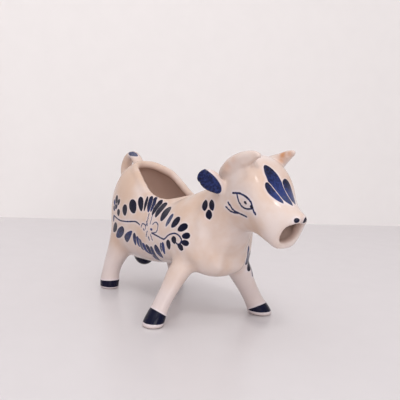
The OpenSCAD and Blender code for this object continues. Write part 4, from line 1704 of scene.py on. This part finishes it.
class Workshop:
    """Makes the Blender objects from the pieces of the surface.

    INSIDE, LOW, WARM_UP and WARM_BACK are the depths, heights and places along the cow between
    which a tint grows from none to full. INSIDE paints warm bounce light on the inner walls and
    LOW paints shade, cooler and darker towards the table. Ahead of WARM_BACK the warmth stays at
    SNOUT_WARMTH.
    """

    BLUE = (Piece.LEFT_EAR, Piece.RIGHT_EAR, Piece.UDDER)
    ON_SEAM = 0.02
    INSIDE, LOW, WARM_UP, WARM_BACK = (-0.6, -2.4), (30, 14), (12, 32), (60, 38)
    SNOUT_WARMTH = 0.45

    def __init__(self, jug: Jug, surface: Surface, material: bpy.types.Material) -> None:
        """Keeps what every piece is made from."""
        self.jug, self.surface, self.material = jug, surface, material
        self.seam = Seam(jug)

    def close(self, name: Piece) -> tuple[Array, Array, Array, int]:
        """A piece's skin with its caps.

        Returns:
            The skin's point numbers, all points, all triangles and how many of these are skin.
        """
        used, faces = self.surface.piece(name)
        points = self.surface.points[used]
        caps, open_loops, neck = [faces], [], []
        for loop in loops_of(faces):
            edge = points[loop]
            gap = np.abs(self.jug.skin.plane_distance(Skin.NECK, edge[:, 0], edge[:, 2])).max()
            at_neck = name in (Piece.BODY, Piece.HEAD) and gap < self.ON_SEAM
            (neck if at_neck else open_loops).append(loop)
        if len(neck) == 2:
            caps.append(self.neck_ring(name, points, neck))
        for loop in open_loops:
            fill, cap = self.seam.cap(points, loop)
            points = np.concatenate((points, fill))
            caps.append(cap)
        log.info("%s: %d seams, %d skin faces", name.value, len(open_loops), len(faces))
        return used, points, np.concatenate(caps), len(faces)

    def neck_ring(self, name: Piece, points: Array, edges: list[Array]) -> Array:
        """The flat end of the wall at the neck, which looks away from its piece.

        Args:
            name: the body or the head.
            points: the piece's points.
            edges: the loops round the wall at the neck, outside and inside it.

        Returns:
            Triangles that close the wall.
        """
        outer, inner = sorted(edges, key=lambda loop: -np.ptp(points[loop][:, 1]))
        ring = self.seam.ring(points, outer, inner, points[outer].mean(axis=0))
        top_x, top_z, bottom_x, bottom_z = self.jug.skin.row(Skin.NECK)[:4]
        ahead = np.array((top_z - bottom_z, 0, bottom_x - top_x))
        looks_ahead = np.sum(face_normals(points, ring) @ ahead) > 0
        return ring if looks_ahead == (name is Piece.BODY) else ring[:, ::-1]

    def make(self, name: Piece) -> bpy.types.Object:
        """Makes one piece, which stands for its solid and rides on the jug's body."""
        used, points, faces, skin_count = self.close(name)
        mesh = bpy.data.meshes.new(name.value)
        mesh.vertices.add(len(points))
        mesh.vertices.foreach_set("co", (points * MM).ravel())
        mesh.loops.add(len(faces) * 3)
        mesh.loops.foreach_set("vertex_index", faces.ravel())
        mesh.polygons.add(len(faces))
        mesh.polygons.foreach_set("loop_start", np.arange(len(faces)) * 3)
        mesh.polygons.foreach_set("use_smooth", np.ones(len(faces), bool))
        mesh.update(calc_edges=True)
        corner = np.zeros((len(faces), 3, 3))
        corner[:skin_count] = self.surface.normals[used][faces[:skin_count]]
        flat = unit(face_normals(points, faces))
        corner[skin_count:] = flat[skin_count:, None, :]
        mesh.normals_split_custom_set(corner.reshape(-1, 3).tolist())
        self.paint(mesh, name, used, points)
        mesh.materials.append(self.material)
        piece = link(bpy.data.objects.new(name.value + "_fired", mesh))
        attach(piece, "root")
        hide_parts(name.value)
        return piece

    def paint(self, mesh: bpy.types.Mesh, name: Piece, used: Array, points: Array) -> None:
        """Gives each point its share of every tint and its place in the brushwork."""
        surface, skin = self.surface, slice(0, len(used))
        depth = self.jug.lattice.sample(self.jug.skin_distance, points)
        gap, tone, stain = np.full(len(points), Brushwork.FAR), *np.zeros((2, len(points)))
        for layer, whole in ((gap, surface.gap), (tone, surface.tone), (stain, surface.stain)):
            layer[skin] = whole[used]
        if name in Brushwork.DIPPED:
            gap[skin] = np.minimum(gap[skin], Brushwork.BARE_EDGE - depth[skin])
            tone[skin] = Tone.FULL.value
        ahead = np.maximum(ramp(points[:, 0], *self.WARM_BACK), self.SNOUT_WARMTH)
        # "low" carries the painted shade towards the table, "inside" the painted warm bounce light
        # on the inner walls
        layers = {
            "inside": ramp(depth, *self.INSIDE),
            "warmth": ramp(points[:, 2], *self.WARM_UP) * ahead,
            "low": ramp(points[:, 2], *self.LOW),
            "ink_gap": gap, "ink_tone": tone, "stain": stain,
        }
        for key, value in layers.items():
            layer = mesh.attributes.new(key, "FLOAT", "POINT")
            layer.data.foreach_set("value", value.astype(np.float32))


def main() -> None:
    """Builds the jug, the studio and the camera, and reports each piece."""
    logging.basicConfig(level=logging.INFO, format="%(name)s: %(message)s")
    studio = Studio()
    studio.camera()
    jug = Jug(Sizes(), STEP)
    log.info("lattice %s", jug.lattice.counts)
    brushwork = Brushwork(jug, studio)
    brushwork.press()
    surface = Surface(jug, brushwork)
    log.info("surface %d faces", len(surface.faces))
    workshop = Workshop(jug, surface, Glaze().material())
    for name in Piece:
        piece = workshop.make(name)
        "cobalt_glaze" if name in Workshop.BLUE else "cream_glaze"
    studio.sweep()
    studio.light()
    boxes = {"cad": CAD_BOX, "visual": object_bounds()}
    boxes = {key: [[float(v) for v in corner] for corner in box] for key, box in boxes.items()}


if __name__ == "__main__":
    main()
